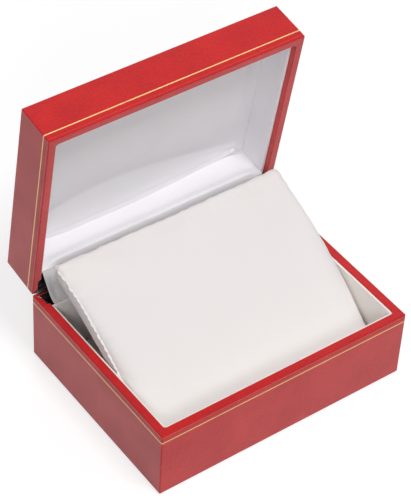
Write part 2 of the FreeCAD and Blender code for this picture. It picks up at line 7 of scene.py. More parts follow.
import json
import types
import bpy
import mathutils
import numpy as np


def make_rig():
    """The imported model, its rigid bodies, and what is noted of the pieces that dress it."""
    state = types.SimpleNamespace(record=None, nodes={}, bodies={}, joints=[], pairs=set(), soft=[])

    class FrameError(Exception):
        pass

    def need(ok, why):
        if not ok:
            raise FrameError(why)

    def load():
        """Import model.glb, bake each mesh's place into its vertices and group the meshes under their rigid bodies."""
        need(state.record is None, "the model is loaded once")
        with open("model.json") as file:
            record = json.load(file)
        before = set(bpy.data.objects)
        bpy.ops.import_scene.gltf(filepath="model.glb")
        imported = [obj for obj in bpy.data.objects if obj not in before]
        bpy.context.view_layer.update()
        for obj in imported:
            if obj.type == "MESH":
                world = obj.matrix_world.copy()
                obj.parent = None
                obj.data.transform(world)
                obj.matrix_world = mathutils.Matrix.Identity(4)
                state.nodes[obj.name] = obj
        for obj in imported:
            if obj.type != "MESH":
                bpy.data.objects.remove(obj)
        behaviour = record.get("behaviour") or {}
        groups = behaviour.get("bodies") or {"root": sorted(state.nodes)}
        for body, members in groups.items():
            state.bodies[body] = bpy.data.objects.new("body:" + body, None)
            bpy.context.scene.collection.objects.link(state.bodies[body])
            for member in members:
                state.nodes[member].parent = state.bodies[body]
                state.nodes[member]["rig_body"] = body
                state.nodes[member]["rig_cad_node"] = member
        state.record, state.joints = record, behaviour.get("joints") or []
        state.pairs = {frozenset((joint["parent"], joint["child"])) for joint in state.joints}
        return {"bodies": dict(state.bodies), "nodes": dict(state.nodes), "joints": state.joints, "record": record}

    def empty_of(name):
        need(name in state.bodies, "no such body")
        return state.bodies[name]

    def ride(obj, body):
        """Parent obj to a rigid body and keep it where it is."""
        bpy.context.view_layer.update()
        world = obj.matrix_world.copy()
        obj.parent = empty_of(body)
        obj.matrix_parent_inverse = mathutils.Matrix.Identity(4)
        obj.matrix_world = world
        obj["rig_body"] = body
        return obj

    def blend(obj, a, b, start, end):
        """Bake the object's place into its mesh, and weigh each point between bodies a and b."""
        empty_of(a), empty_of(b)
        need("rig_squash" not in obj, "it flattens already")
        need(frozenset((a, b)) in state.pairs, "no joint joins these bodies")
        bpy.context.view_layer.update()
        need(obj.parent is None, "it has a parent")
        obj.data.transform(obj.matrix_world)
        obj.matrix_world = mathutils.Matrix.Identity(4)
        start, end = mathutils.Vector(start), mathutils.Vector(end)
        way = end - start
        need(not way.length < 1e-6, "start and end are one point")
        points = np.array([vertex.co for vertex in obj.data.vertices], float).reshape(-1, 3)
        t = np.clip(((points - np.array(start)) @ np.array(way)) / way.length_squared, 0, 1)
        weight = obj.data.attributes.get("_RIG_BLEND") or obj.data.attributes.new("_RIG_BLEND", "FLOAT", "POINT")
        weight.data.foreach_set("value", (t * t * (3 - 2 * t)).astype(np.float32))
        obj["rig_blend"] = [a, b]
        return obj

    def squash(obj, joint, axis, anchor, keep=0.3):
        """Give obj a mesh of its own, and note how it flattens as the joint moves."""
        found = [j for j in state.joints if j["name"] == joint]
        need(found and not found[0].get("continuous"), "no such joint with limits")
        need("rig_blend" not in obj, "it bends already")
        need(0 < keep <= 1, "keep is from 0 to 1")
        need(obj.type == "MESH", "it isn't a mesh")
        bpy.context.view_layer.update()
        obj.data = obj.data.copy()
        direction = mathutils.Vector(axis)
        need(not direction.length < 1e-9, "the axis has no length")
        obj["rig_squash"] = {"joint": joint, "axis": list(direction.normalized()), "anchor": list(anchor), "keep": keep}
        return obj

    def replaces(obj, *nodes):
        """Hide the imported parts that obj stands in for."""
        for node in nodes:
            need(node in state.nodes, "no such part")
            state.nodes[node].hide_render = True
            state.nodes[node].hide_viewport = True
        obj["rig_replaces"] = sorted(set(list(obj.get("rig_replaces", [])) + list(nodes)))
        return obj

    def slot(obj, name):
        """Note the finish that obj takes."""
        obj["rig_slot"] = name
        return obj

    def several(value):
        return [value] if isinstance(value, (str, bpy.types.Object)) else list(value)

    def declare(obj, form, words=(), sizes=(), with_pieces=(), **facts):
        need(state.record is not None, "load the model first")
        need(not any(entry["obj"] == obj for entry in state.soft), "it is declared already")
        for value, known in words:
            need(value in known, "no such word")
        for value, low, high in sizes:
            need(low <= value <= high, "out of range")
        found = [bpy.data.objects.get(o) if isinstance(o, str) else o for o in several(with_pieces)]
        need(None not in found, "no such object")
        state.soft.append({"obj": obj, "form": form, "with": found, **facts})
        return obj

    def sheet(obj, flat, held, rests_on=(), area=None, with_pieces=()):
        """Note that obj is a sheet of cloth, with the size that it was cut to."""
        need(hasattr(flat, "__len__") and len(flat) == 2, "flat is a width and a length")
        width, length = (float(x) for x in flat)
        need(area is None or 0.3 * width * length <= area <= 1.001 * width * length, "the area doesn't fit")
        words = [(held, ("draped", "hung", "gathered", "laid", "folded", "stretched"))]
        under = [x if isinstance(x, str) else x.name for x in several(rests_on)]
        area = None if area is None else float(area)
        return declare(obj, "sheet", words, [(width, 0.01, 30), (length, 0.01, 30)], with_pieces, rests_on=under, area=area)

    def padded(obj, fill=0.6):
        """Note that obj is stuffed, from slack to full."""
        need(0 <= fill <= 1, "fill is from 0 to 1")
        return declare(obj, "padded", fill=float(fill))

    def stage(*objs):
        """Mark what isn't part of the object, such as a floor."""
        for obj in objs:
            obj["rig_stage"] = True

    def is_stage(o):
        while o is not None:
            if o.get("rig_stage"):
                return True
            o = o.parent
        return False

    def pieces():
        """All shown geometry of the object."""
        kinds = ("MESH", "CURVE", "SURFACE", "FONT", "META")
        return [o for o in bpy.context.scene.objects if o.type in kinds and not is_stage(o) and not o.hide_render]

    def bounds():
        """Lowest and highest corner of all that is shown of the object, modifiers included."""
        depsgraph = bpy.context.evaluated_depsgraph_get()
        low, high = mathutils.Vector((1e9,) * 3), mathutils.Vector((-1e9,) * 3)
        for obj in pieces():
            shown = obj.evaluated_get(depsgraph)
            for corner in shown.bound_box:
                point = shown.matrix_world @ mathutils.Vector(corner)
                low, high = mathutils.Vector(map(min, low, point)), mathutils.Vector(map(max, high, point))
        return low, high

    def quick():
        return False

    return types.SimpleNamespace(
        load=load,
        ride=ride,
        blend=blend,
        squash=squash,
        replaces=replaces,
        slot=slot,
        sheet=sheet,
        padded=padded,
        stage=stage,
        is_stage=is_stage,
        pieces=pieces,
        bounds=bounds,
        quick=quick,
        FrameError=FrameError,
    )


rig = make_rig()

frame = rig.load()

import json
import logging
import math
from collections.abc import Callable, Iterator, Sequence
from contextlib import contextmanager
from dataclasses import dataclass, field, replace
from enum import Enum

import bmesh
import bpy
from mathutils import Matrix, Vector, noise
from mathutils.bvhtree import BVHTree
from mathutils.kdtree import KDTree

MM = 0.001
LOG = logging.getLogger("presentation_box")
CAD_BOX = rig.bounds()
Colour = tuple[float, float, float]
Point = tuple[float, float]
Piece, Node, Socket = bpy.types.Object, bpy.types.Node, bpy.types.NodeSocket


class Body(Enum):
    """The bodies that the pieces ride on."""

    BASE = "base"
    LID = "lid"
    PILLOW = "pillow"


class Slot(Enum):
    """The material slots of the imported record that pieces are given."""

    LEATHERETTE = "red_leatherette"
    FOIL = "gold_foil"
    SUEDE = "white_suede"
    SATIN = "white_satin"
    LACQUER = "black_lacquered_steel"
    SPRING = "spring_steel"
    PLASTIC = "moulded_plastic"
    CARD = "card"


# ---------------------------------------------------------------- shader groups

class Wiring:
    """A node tree that is being wired up."""

    def __init__(self, tree: bpy.types.NodeTree) -> None:
        """Take hold of a tree."""
        self.tree = tree

    def add(self, kind: str, **values: object) -> Node:
        """Add a node.

        Args:
            kind: The node's type name, without its ShaderNode prefix where it has one.
            **values: Settings of the node, or values of its inputs by their names.

        Returns:
            The new node.
        """
        node = self.tree.nodes.new(kind if kind.startswith("Node") else "ShaderNode" + kind)
        for name, value in values.items():
            if hasattr(node, name):
                setattr(node, name, value)
            else:
                node.inputs[name.replace("_", " ").title()].default_value = value
        return node

    def feed(self, target: Socket, value: object) -> None:
        """Give an input another node's output, a colour or a number.

        Args:
            target: The input.
            value: What it is given.
        """
        if isinstance(value, Socket):
            self.tree.links.new(value, target)
        else:
            target.default_value = (*value, 1.0) if isinstance(value, tuple) else value

    def texture(self, kind: str, place: Socket, **values: object) -> Node:
        """Add a texture node.

        Args:
            kind: Its type name.
            place: The coordinates it reads.
            **values: Its settings and inputs.

        Returns:
            The texture node.
        """
        node = self.add(kind, **values)
        self.feed(node.inputs["Vector"], place)
        return node

    def math(self, operation: str, *terms: object) -> Socket:
        """Add a Math node.

        Args:
            operation: Its operation.
            *terms: Up to three sockets or numbers.

        Returns:
            Its output.
        """
        node = self.add("Math", operation=operation)
        for target, term in zip(node.inputs, terms):
            self.feed(target, term)
        return node.outputs[0]

    def spread(self, value: Socket, low: float, high: float) -> Socket:
        """Turn a value smoothly to 0 at low and 1 at high.

        Args:
            value: The value.
            low: Where it becomes 0.
            high: Where it becomes 1.

        Returns:
            The output.
        """
        node = self.add("MapRange", interpolation_type="SMOOTHSTEP", from_min=low, from_max=high)
        self.feed(node.inputs[0], value)
        return node.outputs[0]

    def blend(self, share: object, first: object, second: object) -> Socket:
        """Mix two colours.

        Args:
            share: The second colour's share, a socket or a number.
            first: A socket or a colour.
            second: A socket or a colour.

        Returns:
            The mixed colour.
        """
        node = self.add("Mix", data_type="RGBA")
        for place, value in ((0, share), (6, first), (7, second)):
            self.feed(node.inputs[place], value)
        return node.outputs[2]


@dataclass(frozen=True)
class Patch:
    """An effect group that is being filled.

    Args:
        wiring: The group's wiring.
        place: Its coordinates, in which one unit is one grain.
        given: Its input node.
        result: Its output node.
    """

    wiring: Wiring
    place: Socket
    given: Node
    result: Node

    def texture(self, kind: str, **values: object) -> Node:
        """Add a texture over the group's own coordinates, and return its node."""
        return self.wiring.texture(kind, self.place, **values)

    def give(self, name: str, value: Socket) -> None:
        """Give the group's output of this name a value."""
        self.wiring.feed(self.result.inputs[name], value)


@dataclass(frozen=True)
class EffectGroup:
    """A shader node group with named inputs and outputs, built once and placed in materials.

    Args:
        name: The group's name.
        inputs: Names and starting values of its number inputs; Size is the size of one grain.
        outputs: Names of its number outputs.
        wire_up: Fills the group.
        stretch: How much finer the pattern is along each axis.
    """

    name: str
    inputs: dict[str, float]
    outputs: tuple[str, ...]
    wire_up: Callable[[Patch], None]
    stretch: tuple[float, float, float] = (1.0, 1.0, 1.0)

    def tree(self) -> bpy.types.NodeTree:
        """Make the group at its first use.

        Returns:
            Its node tree.
        """
        made = bpy.data.node_groups.get(self.name)
        if made:
            return made
        made = bpy.data.node_groups.new(self.name, "ShaderNodeTree")
        made.interface.new_socket("Vector", in_out="INPUT", socket_type="NodeSocketVector")
        for name, value in self.inputs.items():
            socket = made.interface.new_socket(name, in_out="INPUT", socket_type="NodeSocketFloat")
            socket.default_value = value
        for name in self.outputs:
            made.interface.new_socket(name, in_out="OUTPUT", socket_type="NodeSocketFloat")
        wiring = Wiring(made)
        given, result = wiring.add("NodeGroupInput"), wiring.add("NodeGroupOutput")
        self.wire_up(Patch(wiring, self.grains(wiring, given), given, result))
        return made

    def grains(self, wiring: Wiring, given: Node) -> Socket:
        """Divide the coordinates by the grain's size.

        Args:
            wiring: The group's wiring.
            given: The group's input node.

        Returns:
            Coordinates in which one unit is one grain.
        """
        shaped = wiring.add("VectorMath", operation="MULTIPLY")
        shaped.inputs[1].default_value = self.stretch
        wiring.feed(shaped.inputs[0], given.outputs["Vector"])
        counted = wiring.add("VectorMath", operation="SCALE")
        wiring.feed(counted.inputs[0], shaped.outputs[0])
        wiring.feed(counted.inputs["Scale"], wiring.math("DIVIDE", 1.0, given.outputs["Size"]))
        return counted.outputs[0]

    def place(self, wiring: Wiring, vector: Socket, **values: float) -> Sequence[Socket]:
        """Place the group in a material.

        Args:
            wiring: The material's wiring.
            vector: The coordinates it works on.
            **values: Its number inputs by lower-case name.

        Returns:
            The group node's outputs.
        """
        node = wiring.add("Group")
        node.node_tree = self.tree()
        wiring.feed(node.inputs["Vector"], vector)
        for name, value in values.items():
            node.inputs[name.title()].default_value = value
        return node.outputs


def wire_pebbles(patch: Patch) -> None:
    """Fill the embossed grain group: rounded pebbles with fine creases between them.

    Args:
        patch: The group.
    """
    wiring = patch.wiring
    drift = patch.texture("TexNoise", scale=0.7, detail=2.0)
    moved = wiring.add("VectorMath", operation="MULTIPLY_ADD")
    moved.inputs[1].default_value = (0.8, 0.8, 0.8)
    wiring.feed(moved.inputs[0], drift.outputs["Color"])
    wiring.feed(moved.inputs[2], patch.place)
    cells = wiring.texture("TexVoronoi", moved.outputs[0], feature="SMOOTH_F1", scale=1.0, smoothness=0.35)
    fine = patch.texture("TexNoise", scale=4.0, detail=3.0)
    dome = wiring.spread(cells.outputs["Distance"], 0.75, 0.1)
    patch.give("Height", wiring.math("MULTIPLY_ADD", fine.outputs[0], 0.25, dome))
    patch.give("Crease", wiring.spread(cells.outputs["Distance"], 0.35, 0.8))


def wire_clouds(patch: Patch) -> None:
    """Fill the cloudy tone group: soft patches about as large as its grain."""
    patches = patch.texture("TexNoise", scale=1.0, detail=4.0, roughness=0.55)
    patch.give("Tone", patch.wiring.spread(patches.outputs[0], 0.25, 0.75))


def wire_rubbed(patch: Patch) -> None:
    """Fill the rubbed edge group: a mask within its Reach of an edge, broken up by noise.

    Args:
        patch: The group.
    """
    wiring = patch.wiring
    soft = wiring.add("Bevel", samples=4)
    wiring.feed(soft.inputs["Radius"], patch.given.outputs["Reach"])
    turn = wiring.add("VectorMath", operation="DOT_PRODUCT")
    wiring.feed(turn.inputs[0], soft.outputs[0])
    wiring.feed(turn.inputs[1], wiring.add("NewGeometry").outputs["Normal"])
    edge = wiring.spread(turn.outputs["Value"], 0.995, 0.8)
    broken = wiring.spread(patch.texture("TexNoise", scale=1.0, detail=3.0).outputs[0], 0.3, 0.6)
    patch.give("Mask", wiring.math("MULTIPLY", edge, broken))


def wire_nap(patch: Patch) -> None:
    """Fill the brushed nap group: short fibres, and patches where they lie another way.

    Args:
        patch: The group.
    """
    fibres = patch.texture("TexNoise", scale=1.0, detail=5.0, roughness=0.7)
    strokes = patch.texture("TexNoise", scale=0.035, detail=2.0)
    patch.give("Height", fibres.outputs[0])
    patch.give("Lay", patch.wiring.spread(strokes.outputs[0], 0.3, 0.7))


def wire_weave(patch: Patch) -> None:
    """Fill the satin weave group: long floats one way, tied down by short threads the other way.

    Args:
        patch: The group.
    """
    bands = {"wave_type": "BANDS", "detail": 1.0}
    along = patch.texture("TexWave", bands_direction="X", scale=1.0, distortion=0.4, **bands)
    across = patch.texture("TexWave", bands_direction="DIAGONAL", scale=0.35, distortion=0.6, **bands)
    float_height = patch.wiring.math("MULTIPLY_ADD", across.outputs["Fac"], 0.4, along.outputs["Fac"])
    patch.give("Height", float_height)
    patch.give("Float", across.outputs["Fac"])


PEBBLES = EffectGroup("embossed_grain", {"Size": 0.0006}, ("Height", "Crease"), wire_pebbles)
CLOUDS = EffectGroup("cloudy_tone", {"Size": 0.02}, ("Tone",), wire_clouds)
RUBBED = EffectGroup("rubbed_edge", {"Reach": 0.0004, "Size": 0.001}, ("Mask",), wire_rubbed)
NAP = EffectGroup("brushed_nap", {"Size": 0.0004}, ("Height", "Lay"), wire_nap, stretch=(1.0, 0.55, 0.8))
WEAVE = EffectGroup("satin_weave", {"Size": 0.0002}, ("Height", "Float"), wire_weave)


# ---------------------------------------------------------------- finishes

@dataclass(frozen=True)
class Worn:
    """Worn edges: their colour, its share, how far they reach and how finely they break up, in metres."""

    colour: Colour
    share: float
    reach: float
    size: float


@dataclass(frozen=True)
class Finish:
    """A finish: two colours mixed by its pattern and by soft clouds, and a raised surface.

    Args:
        slot: The record's material slot.
        colour: The main colour, linear.
        second: The colour that the pattern and the clouds turn it to.
        roughness: The middle roughness.
        pattern: The group that draws its grain, nap or weave: a height and a mask.
        size: The size of one grain of the pattern, in metres.
        depth: The real depth of the pattern, in metres.
        cloud: The size of one cloud, in metres.
        swing: How far the roughness swings either side of its middle value.
        pattern_share: How far the pattern's mask turns the colour.
        cloud_share: How far the clouds turn the colour.
        settings: Constant values for sockets of the Principled shader.
        edge: How its edges are worn, if they are.
        swings_with_pattern: Whether the roughness follows the pattern instead of the clouds.
        use: A word for its use, which completes the material's name.
    """

    slot: Slot
    colour: Colour
    second: Colour
    roughness: float
    pattern: EffectGroup
    size: float
    depth: float
    cloud: float
    swing: float
    pattern_share: float = 0.0
    cloud_share: float = 0.0
    settings: dict[str, float] = field(default_factory=dict)
    edge: Worn | None = None
    swings_with_pattern: bool = False
    use: str = "finish"

    def material(self) -> bpy.types.Material:
        """Make the finish's material at its first use.

        Returns:
            The material.
        """
        name = f"{self.slot.value}_{self.use}"
        made = bpy.data.materials.get(name)
        if made:
            return made
        made = bpy.data.materials.new(name)
        made.use_nodes = True
        wiring = Wiring(made.node_tree)
        shader = made.node_tree.nodes["Principled BSDF"].inputs
        for socket, value in self.settings.items():
            shader[socket].default_value = value
        place = wiring.add("TexCoord").outputs["Object"]
        height, mask = self.pattern.place(wiring, place, size=self.size)
        clouds = CLOUDS.place(wiring, place, size=self.cloud)[0]
        colour = wiring.blend(self.second_share(wiring, mask, clouds), self.colour, self.second)
        if self.edge:
            worn = RUBBED.place(wiring, place, reach=self.edge.reach, size=self.edge.size)[0]
            colour = wiring.blend(wiring.math("MULTIPLY", worn, self.edge.share), colour, self.edge.colour)
        wiring.feed(shader["Base Color"], colour)
        share = mask if self.swings_with_pattern else clouds
        wiring.feed(shader["Roughness"], wiring.math("MULTIPLY_ADD", share, 2 * self.swing,
                                                     self.roughness - self.swing))
        bump = wiring.add("Bump", distance=self.depth, strength=1.0)
        wiring.feed(bump.inputs["Height"], height)
        wiring.feed(shader["Normal"], bump.outputs[0])
        return made

    def second_share(self, wiring: Wiring, mask: Socket, clouds: Socket) -> Socket:
        """Add up how far the pattern and the clouds turn the colour, and return the share."""
        return wiring.math("MULTIPLY_ADD", mask, self.pattern_share,
                           wiring.math("MULTIPLY", clouds, self.cloud_share))


@dataclass(frozen=True)
class Foil(Finish):
    """Pressed foil, thinned only where the clouds are thickest."""

    def second_share(self, wiring: Wiring, mask: Socket, clouds: Socket) -> Socket:
        """Thin the foil in patches, and return the share that shows through."""
        return wiring.spread(clouds, 0.6, 1.6)


LEATHERETTE = Finish(
    Slot.LEATHERETTE, colour=(0.66, 0.006, 0.004), second=(0.44, 0.004, 0.012), roughness=0.5,
    pattern=PEBBLES, size=0.00055, depth=0.00003, pattern_share=0.35, cloud=0.012, cloud_share=0.42,
    swing=0.06, settings={"Specular IOR Level": 0.2, "Sheen Weight": 0.95, "Sheen Roughness": 0.4},
    edge=Worn(colour=(0.66, 0.03, 0.04), share=0.6, reach=0.00045, size=0.0012))
FOIL = Foil(
    Slot.FOIL, colour=(0.86, 0.62, 0.26), second=(0.40, 0.10, 0.05), roughness=0.42, pattern=PEBBLES,
    size=0.0005, depth=0.00002, cloud=0.004, swing=0.08, settings={"Metallic": 0.6},
    swings_with_pattern=True)
SUEDE = Finish(
    Slot.SUEDE, colour=(0.875, 0.84, 0.828), second=(0.86, 0.825, 0.81), roughness=0.9, pattern=NAP,
    size=0.00045, depth=0.00003, pattern_share=0.25, cloud=0.015, cloud_share=0.25, swing=0.04,
    settings={"Specular IOR Level": 0.15, "Sheen Weight": 0.4, "Sheen Roughness": 0.5},
    swings_with_pattern=True)
# Painted light: a lighter, warmer copy of the white suede for the linings. Its extra lightness and warmth stand in for
# light on their shaded faces.
PAINTED_LIGHT_LINING = replace(
    SUEDE, colour=(0.975, 0.93, 0.885), second=(0.93, 0.885, 0.85), roughness=0.85, use="lining",
    settings={"Specular IOR Level": 0.3, "Sheen Weight": 0.8, "Sheen Roughness": 0.5})
SATIN = Finish(
    Slot.SATIN, colour=(0.88, 0.866, 0.893), second=(0.83, 0.816, 0.845), roughness=0.36, pattern=WEAVE,
    size=0.00025, depth=0.000008, pattern_share=0.15, cloud=0.03, cloud_share=0.3, swing=0.05,
    settings={"Specular IOR Level": 0.5, "Sheen Weight": 0.1})
# Painted shade: a darker grey copy of the white satin for the hinge apron. Its greyness stands in for the shade behind
# the pillow.
PAINTED_SHADE_SATIN = replace(
    SATIN, colour=(0.66, 0.655, 0.67), second=(0.52, 0.515, 0.53), use="strip",
    settings={"Specular IOR Level": 0.8, "Sheen Weight": 0.1})
LACQUER = Finish(
    Slot.LACQUER, colour=(0.012, 0.012, 0.014), second=(0.012, 0.012, 0.014), roughness=0.35,
    pattern=NAP, size=0.0002, depth=0.00001, cloud=0.005, swing=0.08,
    settings={"Coat Weight": 0.4, "Coat Roughness": 0.2},
    edge=Worn(colour=(0.30, 0.30, 0.31), share=0.35, reach=0.0002, size=0.0008))
SPRING = replace(
    LACQUER, slot=Slot.SPRING, colour=(0.50, 0.51, 0.53), second=(0.50, 0.51, 0.53), roughness=0.3,
    settings={"Metallic": 1.0}, edge=replace(LACQUER.edge, colour=(0.7, 0.7, 0.72)))
PLASTIC = Finish(
    Slot.PLASTIC, colour=(0.20, 0.20, 0.21), second=(0.1, 0.1, 0.1), roughness=0.55, pattern=PEBBLES,
    size=0.0004, depth=0.00002, pattern_share=0.4, cloud=0.01, cloud_share=0.3, swing=0.05)
CARD = replace(
    PLASTIC, slot=Slot.CARD, colour=(0.62, 0.55, 0.45), second=(0.5, 0.42, 0.32), roughness=0.85,
    size=0.0008)


# ---------------------------------------------------------------- modelling moves

def only(*pieces: Piece) -> None:
    """Select objects and nothing else.

    Args:
        *pieces: The objects; the last one becomes the active one.
    """
    bpy.ops.object.select_all(action="DESELECT")
    for piece in pieces:
        piece.select_set(True)
        bpy.context.view_layer.objects.active = piece


def fix_place() -> None:
    """Move the selected objects' place, turn and scale into their meshes."""
    bpy.ops.object.transform_apply(location=True, rotation=True, scale=True)


def cut_up(piece: Piece, cuts: int) -> None:
    """Cut every edge of a piece into equal lengths.

    Args:
        piece: The piece.
        cuts: How many cuts are made in an edge.
    """
    with editing(piece):
        bpy.ops.mesh.select_all(action="SELECT")
        bpy.ops.mesh.subdivide(number_cuts=cuts)


def start_block(name: str, low: Sequence[float], high: Sequence[float]) -> Piece:
    """Add a block between two corners.

    Args:
        name: The object's name.
        low: One corner, in millimetres.
        high: The other corner, in millimetres.

    Returns:
        The object, at the origin, with its place in its mesh.
    """
    bpy.ops.object.select_all(action="DESELECT")
    middle = [(a + b) / 2 * MM for a, b in zip(low, high)]
    size = [abs(b - a) * MM for a, b in zip(low, high)]
    bpy.ops.mesh.primitive_cube_add(size=1.0, location=middle, scale=size)
    piece = bpy.context.object
    piece.name = piece.data.name = name
    fix_place()
    return piece


@contextmanager
def editing(piece: Piece, parts: str = "FACE") -> Iterator[None]:
    """Open a piece in edit mode with nothing selected, and close it afterwards.

    Args:
        piece: The piece.
        parts: What is selected in it: "VERT", "EDGE" or "FACE".

    Yields:
        Nothing, while the piece is open.
    """
    only(piece)
    bpy.ops.object.mode_set(mode="EDIT")
    bpy.ops.mesh.select_mode(type=parts)
    bpy.ops.mesh.select_all(action="DESELECT")
    yield
    bpy.ops.object.mode_set(mode="OBJECT")


def choose(piece: Piece, parts: str, wanted: Callable[[object], bool]) -> None:
    """Select parts of the piece in edit mode.

    Args:
        piece: The piece, in edit mode.
        parts: "verts", "edges" or "faces".
        wanted: Says whether a part is selected.
    """
    bpy.ops.mesh.select_all(action="DESELECT")
    mesh = bmesh.from_edit_mesh(piece.data)
    for part in [part for part in getattr(mesh, parts) if wanted(part)]:
        part.select_set(True)
    mesh.select_flush_mode()
    bmesh.update_edit_mesh(piece.data)


def apply_modifier(piece: Piece, kind: str, **settings: object) -> None:
    """Add a modifier and apply it.

    Args:
        piece: The piece.
        kind: The modifier's type.
        **settings: Its settings.
    """
    modifier = piece.modifiers.new(kind.lower(), kind)
    for name, value in settings.items():
        setattr(modifier, name, value)
    only(piece)
    bpy.ops.object.modifier_apply(modifier=modifier.name)


def round_edges(piece: Piece, radius: float) -> None:
    """Round every edge of a piece sharper than 35 degrees, by a radius in millimetres."""
    apply_modifier(piece, "BEVEL", width=radius * MM, segments=3, limit_method="ANGLE",
                   angle_limit=math.radians(35))


def smooth(piece: Piece, angle: float = 40.0) -> None:
    """Shade a piece smooth, except over edges sharper than an angle in degrees."""
    only(piece)
    bpy.ops.object.shade_smooth_by_angle(angle=math.radians(angle))


def flatten_shading(piece: Piece) -> None:
    """Shade a piece so that its large flats stay flat between their rounded edges."""
    smooth(piece)
    apply_modifier(piece, "WEIGHTED_NORMAL", mode="FACE_AREA", weight=50, keep_sharp=True)


def face_out(piece: Piece) -> None:
    """Merge what is doubled in a piece and turn its faces outwards.

    Args:
        piece: The piece.
    """
    with editing(piece):
        bpy.ops.mesh.select_all(action="SELECT")
        bpy.ops.mesh.remove_doubles(threshold=1e-6)
        bpy.ops.mesh.normals_make_consistent(inside=False)


def join(name: str, pieces: Sequence[Piece]) -> Piece:
    """Join pieces into one object.

    Args:
        name: The object's name.
        pieces: The pieces.

    Returns:
        The object.
    """
    only(*pieces)
    bpy.ops.object.join()
    made = bpy.context.object
    made.name = made.data.name = name
    return made


def hand_over(piece: Piece, finish: Finish, body: Body | None, *stands_for: str) -> Piece:
    """Give a finished piece its material, slot and body, and report it.

    Args:
        piece: The finished mesh, at the origin.
        finish: What it is made of.
        body: The body it rides on, or nothing where it is blended between two.
        *stands_for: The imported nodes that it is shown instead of.

    Returns:
        The piece.
    """
    piece.data.materials.clear()
    piece.data.materials.append(finish.material())
    if body:
        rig.ride(piece, body.value)
    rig.slot(piece, finish.slot.value)
    if stands_for:
        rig.replaces(piece, *stands_for)
    LOG.info("%s: %d faces, %s, on %s", piece.name, len(piece.data.polygons), finish.slot.value,
             body.value if body else "two bodies")
    return piece


def dress(finish: Finish, *nodes: str) -> None:
    """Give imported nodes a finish.

    Args:
        finish: The finish.
        *nodes: The names of the nodes.
    """
    for name in nodes:
        node = frame["nodes"][name]
        node.data.materials.clear()
        node.data.materials.append(finish.material())
        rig.slot(node, finish.slot.value)
        LOG.info("%s: packed node, %s", name, finish.slot.value)


def soft_step(value: float) -> float:
    """Return a smooth step from 0 to 1 of a value clamped to that range."""
    share = min(1.0, max(0.0, value))
    return share * share * (3 - 2 * share)


# ---------------------------------------------------------------- the case

HALF_WIDTH = 50.0
HALF_DEPTH = 38.15
HINGE_Y, HINGE_Z = HALF_DEPTH, 27.9
OPEN_ANGLE = 81.4
MOUTH_INSET = 3.0
CHEEK_OUTER, CHEEK_FRONT = 48.1, 31.75
FLANGE_END, FLARE_Y, FLARE = 49.3, 36.15, 1.2


@dataclass(frozen=True)
class Half:
    """One half of the case, measured in millimetres from its rim towards its closed face."""

    body: Body
    rim: float
    inward: int
    height: float

    def level(self, drop: float) -> float:
        """Return the height of a level that far in from the rim, with the case shut."""
        return self.rim + self.inward * drop

    def span(self, half_x: float, front: float, rear: float, drop_from: float,
             drop_to: float) -> tuple[Sequence[float], Sequence[float]]:
        """Return the corners of a block centred across the case, between two levels."""
        return (-half_x, front, self.level(drop_from)), (half_x, rear, self.level(drop_to))

    def settle(self, piece: Piece) -> Piece:
        """Swing a lid piece open about the hinge line; leave a base piece where it is.

        Args:
            piece: The piece, modelled shut.

        Returns:
            The piece.
        """
        if self.body is Body.LID:
            hinge = Matrix.Translation(Vector((0, HINGE_Y, HINGE_Z)) * MM)
            swing = Matrix.Rotation(math.radians(-OPEN_ANGLE), 4, "X")
            piece.matrix_world = hinge @ swing @ hinge.inverted()
            only(piece)
            fix_place()
        return piece


BASE = Half(Body.BASE, 27.9, -1, 27.5)
LID = Half(Body.LID, 28.0, 1, 16.1)


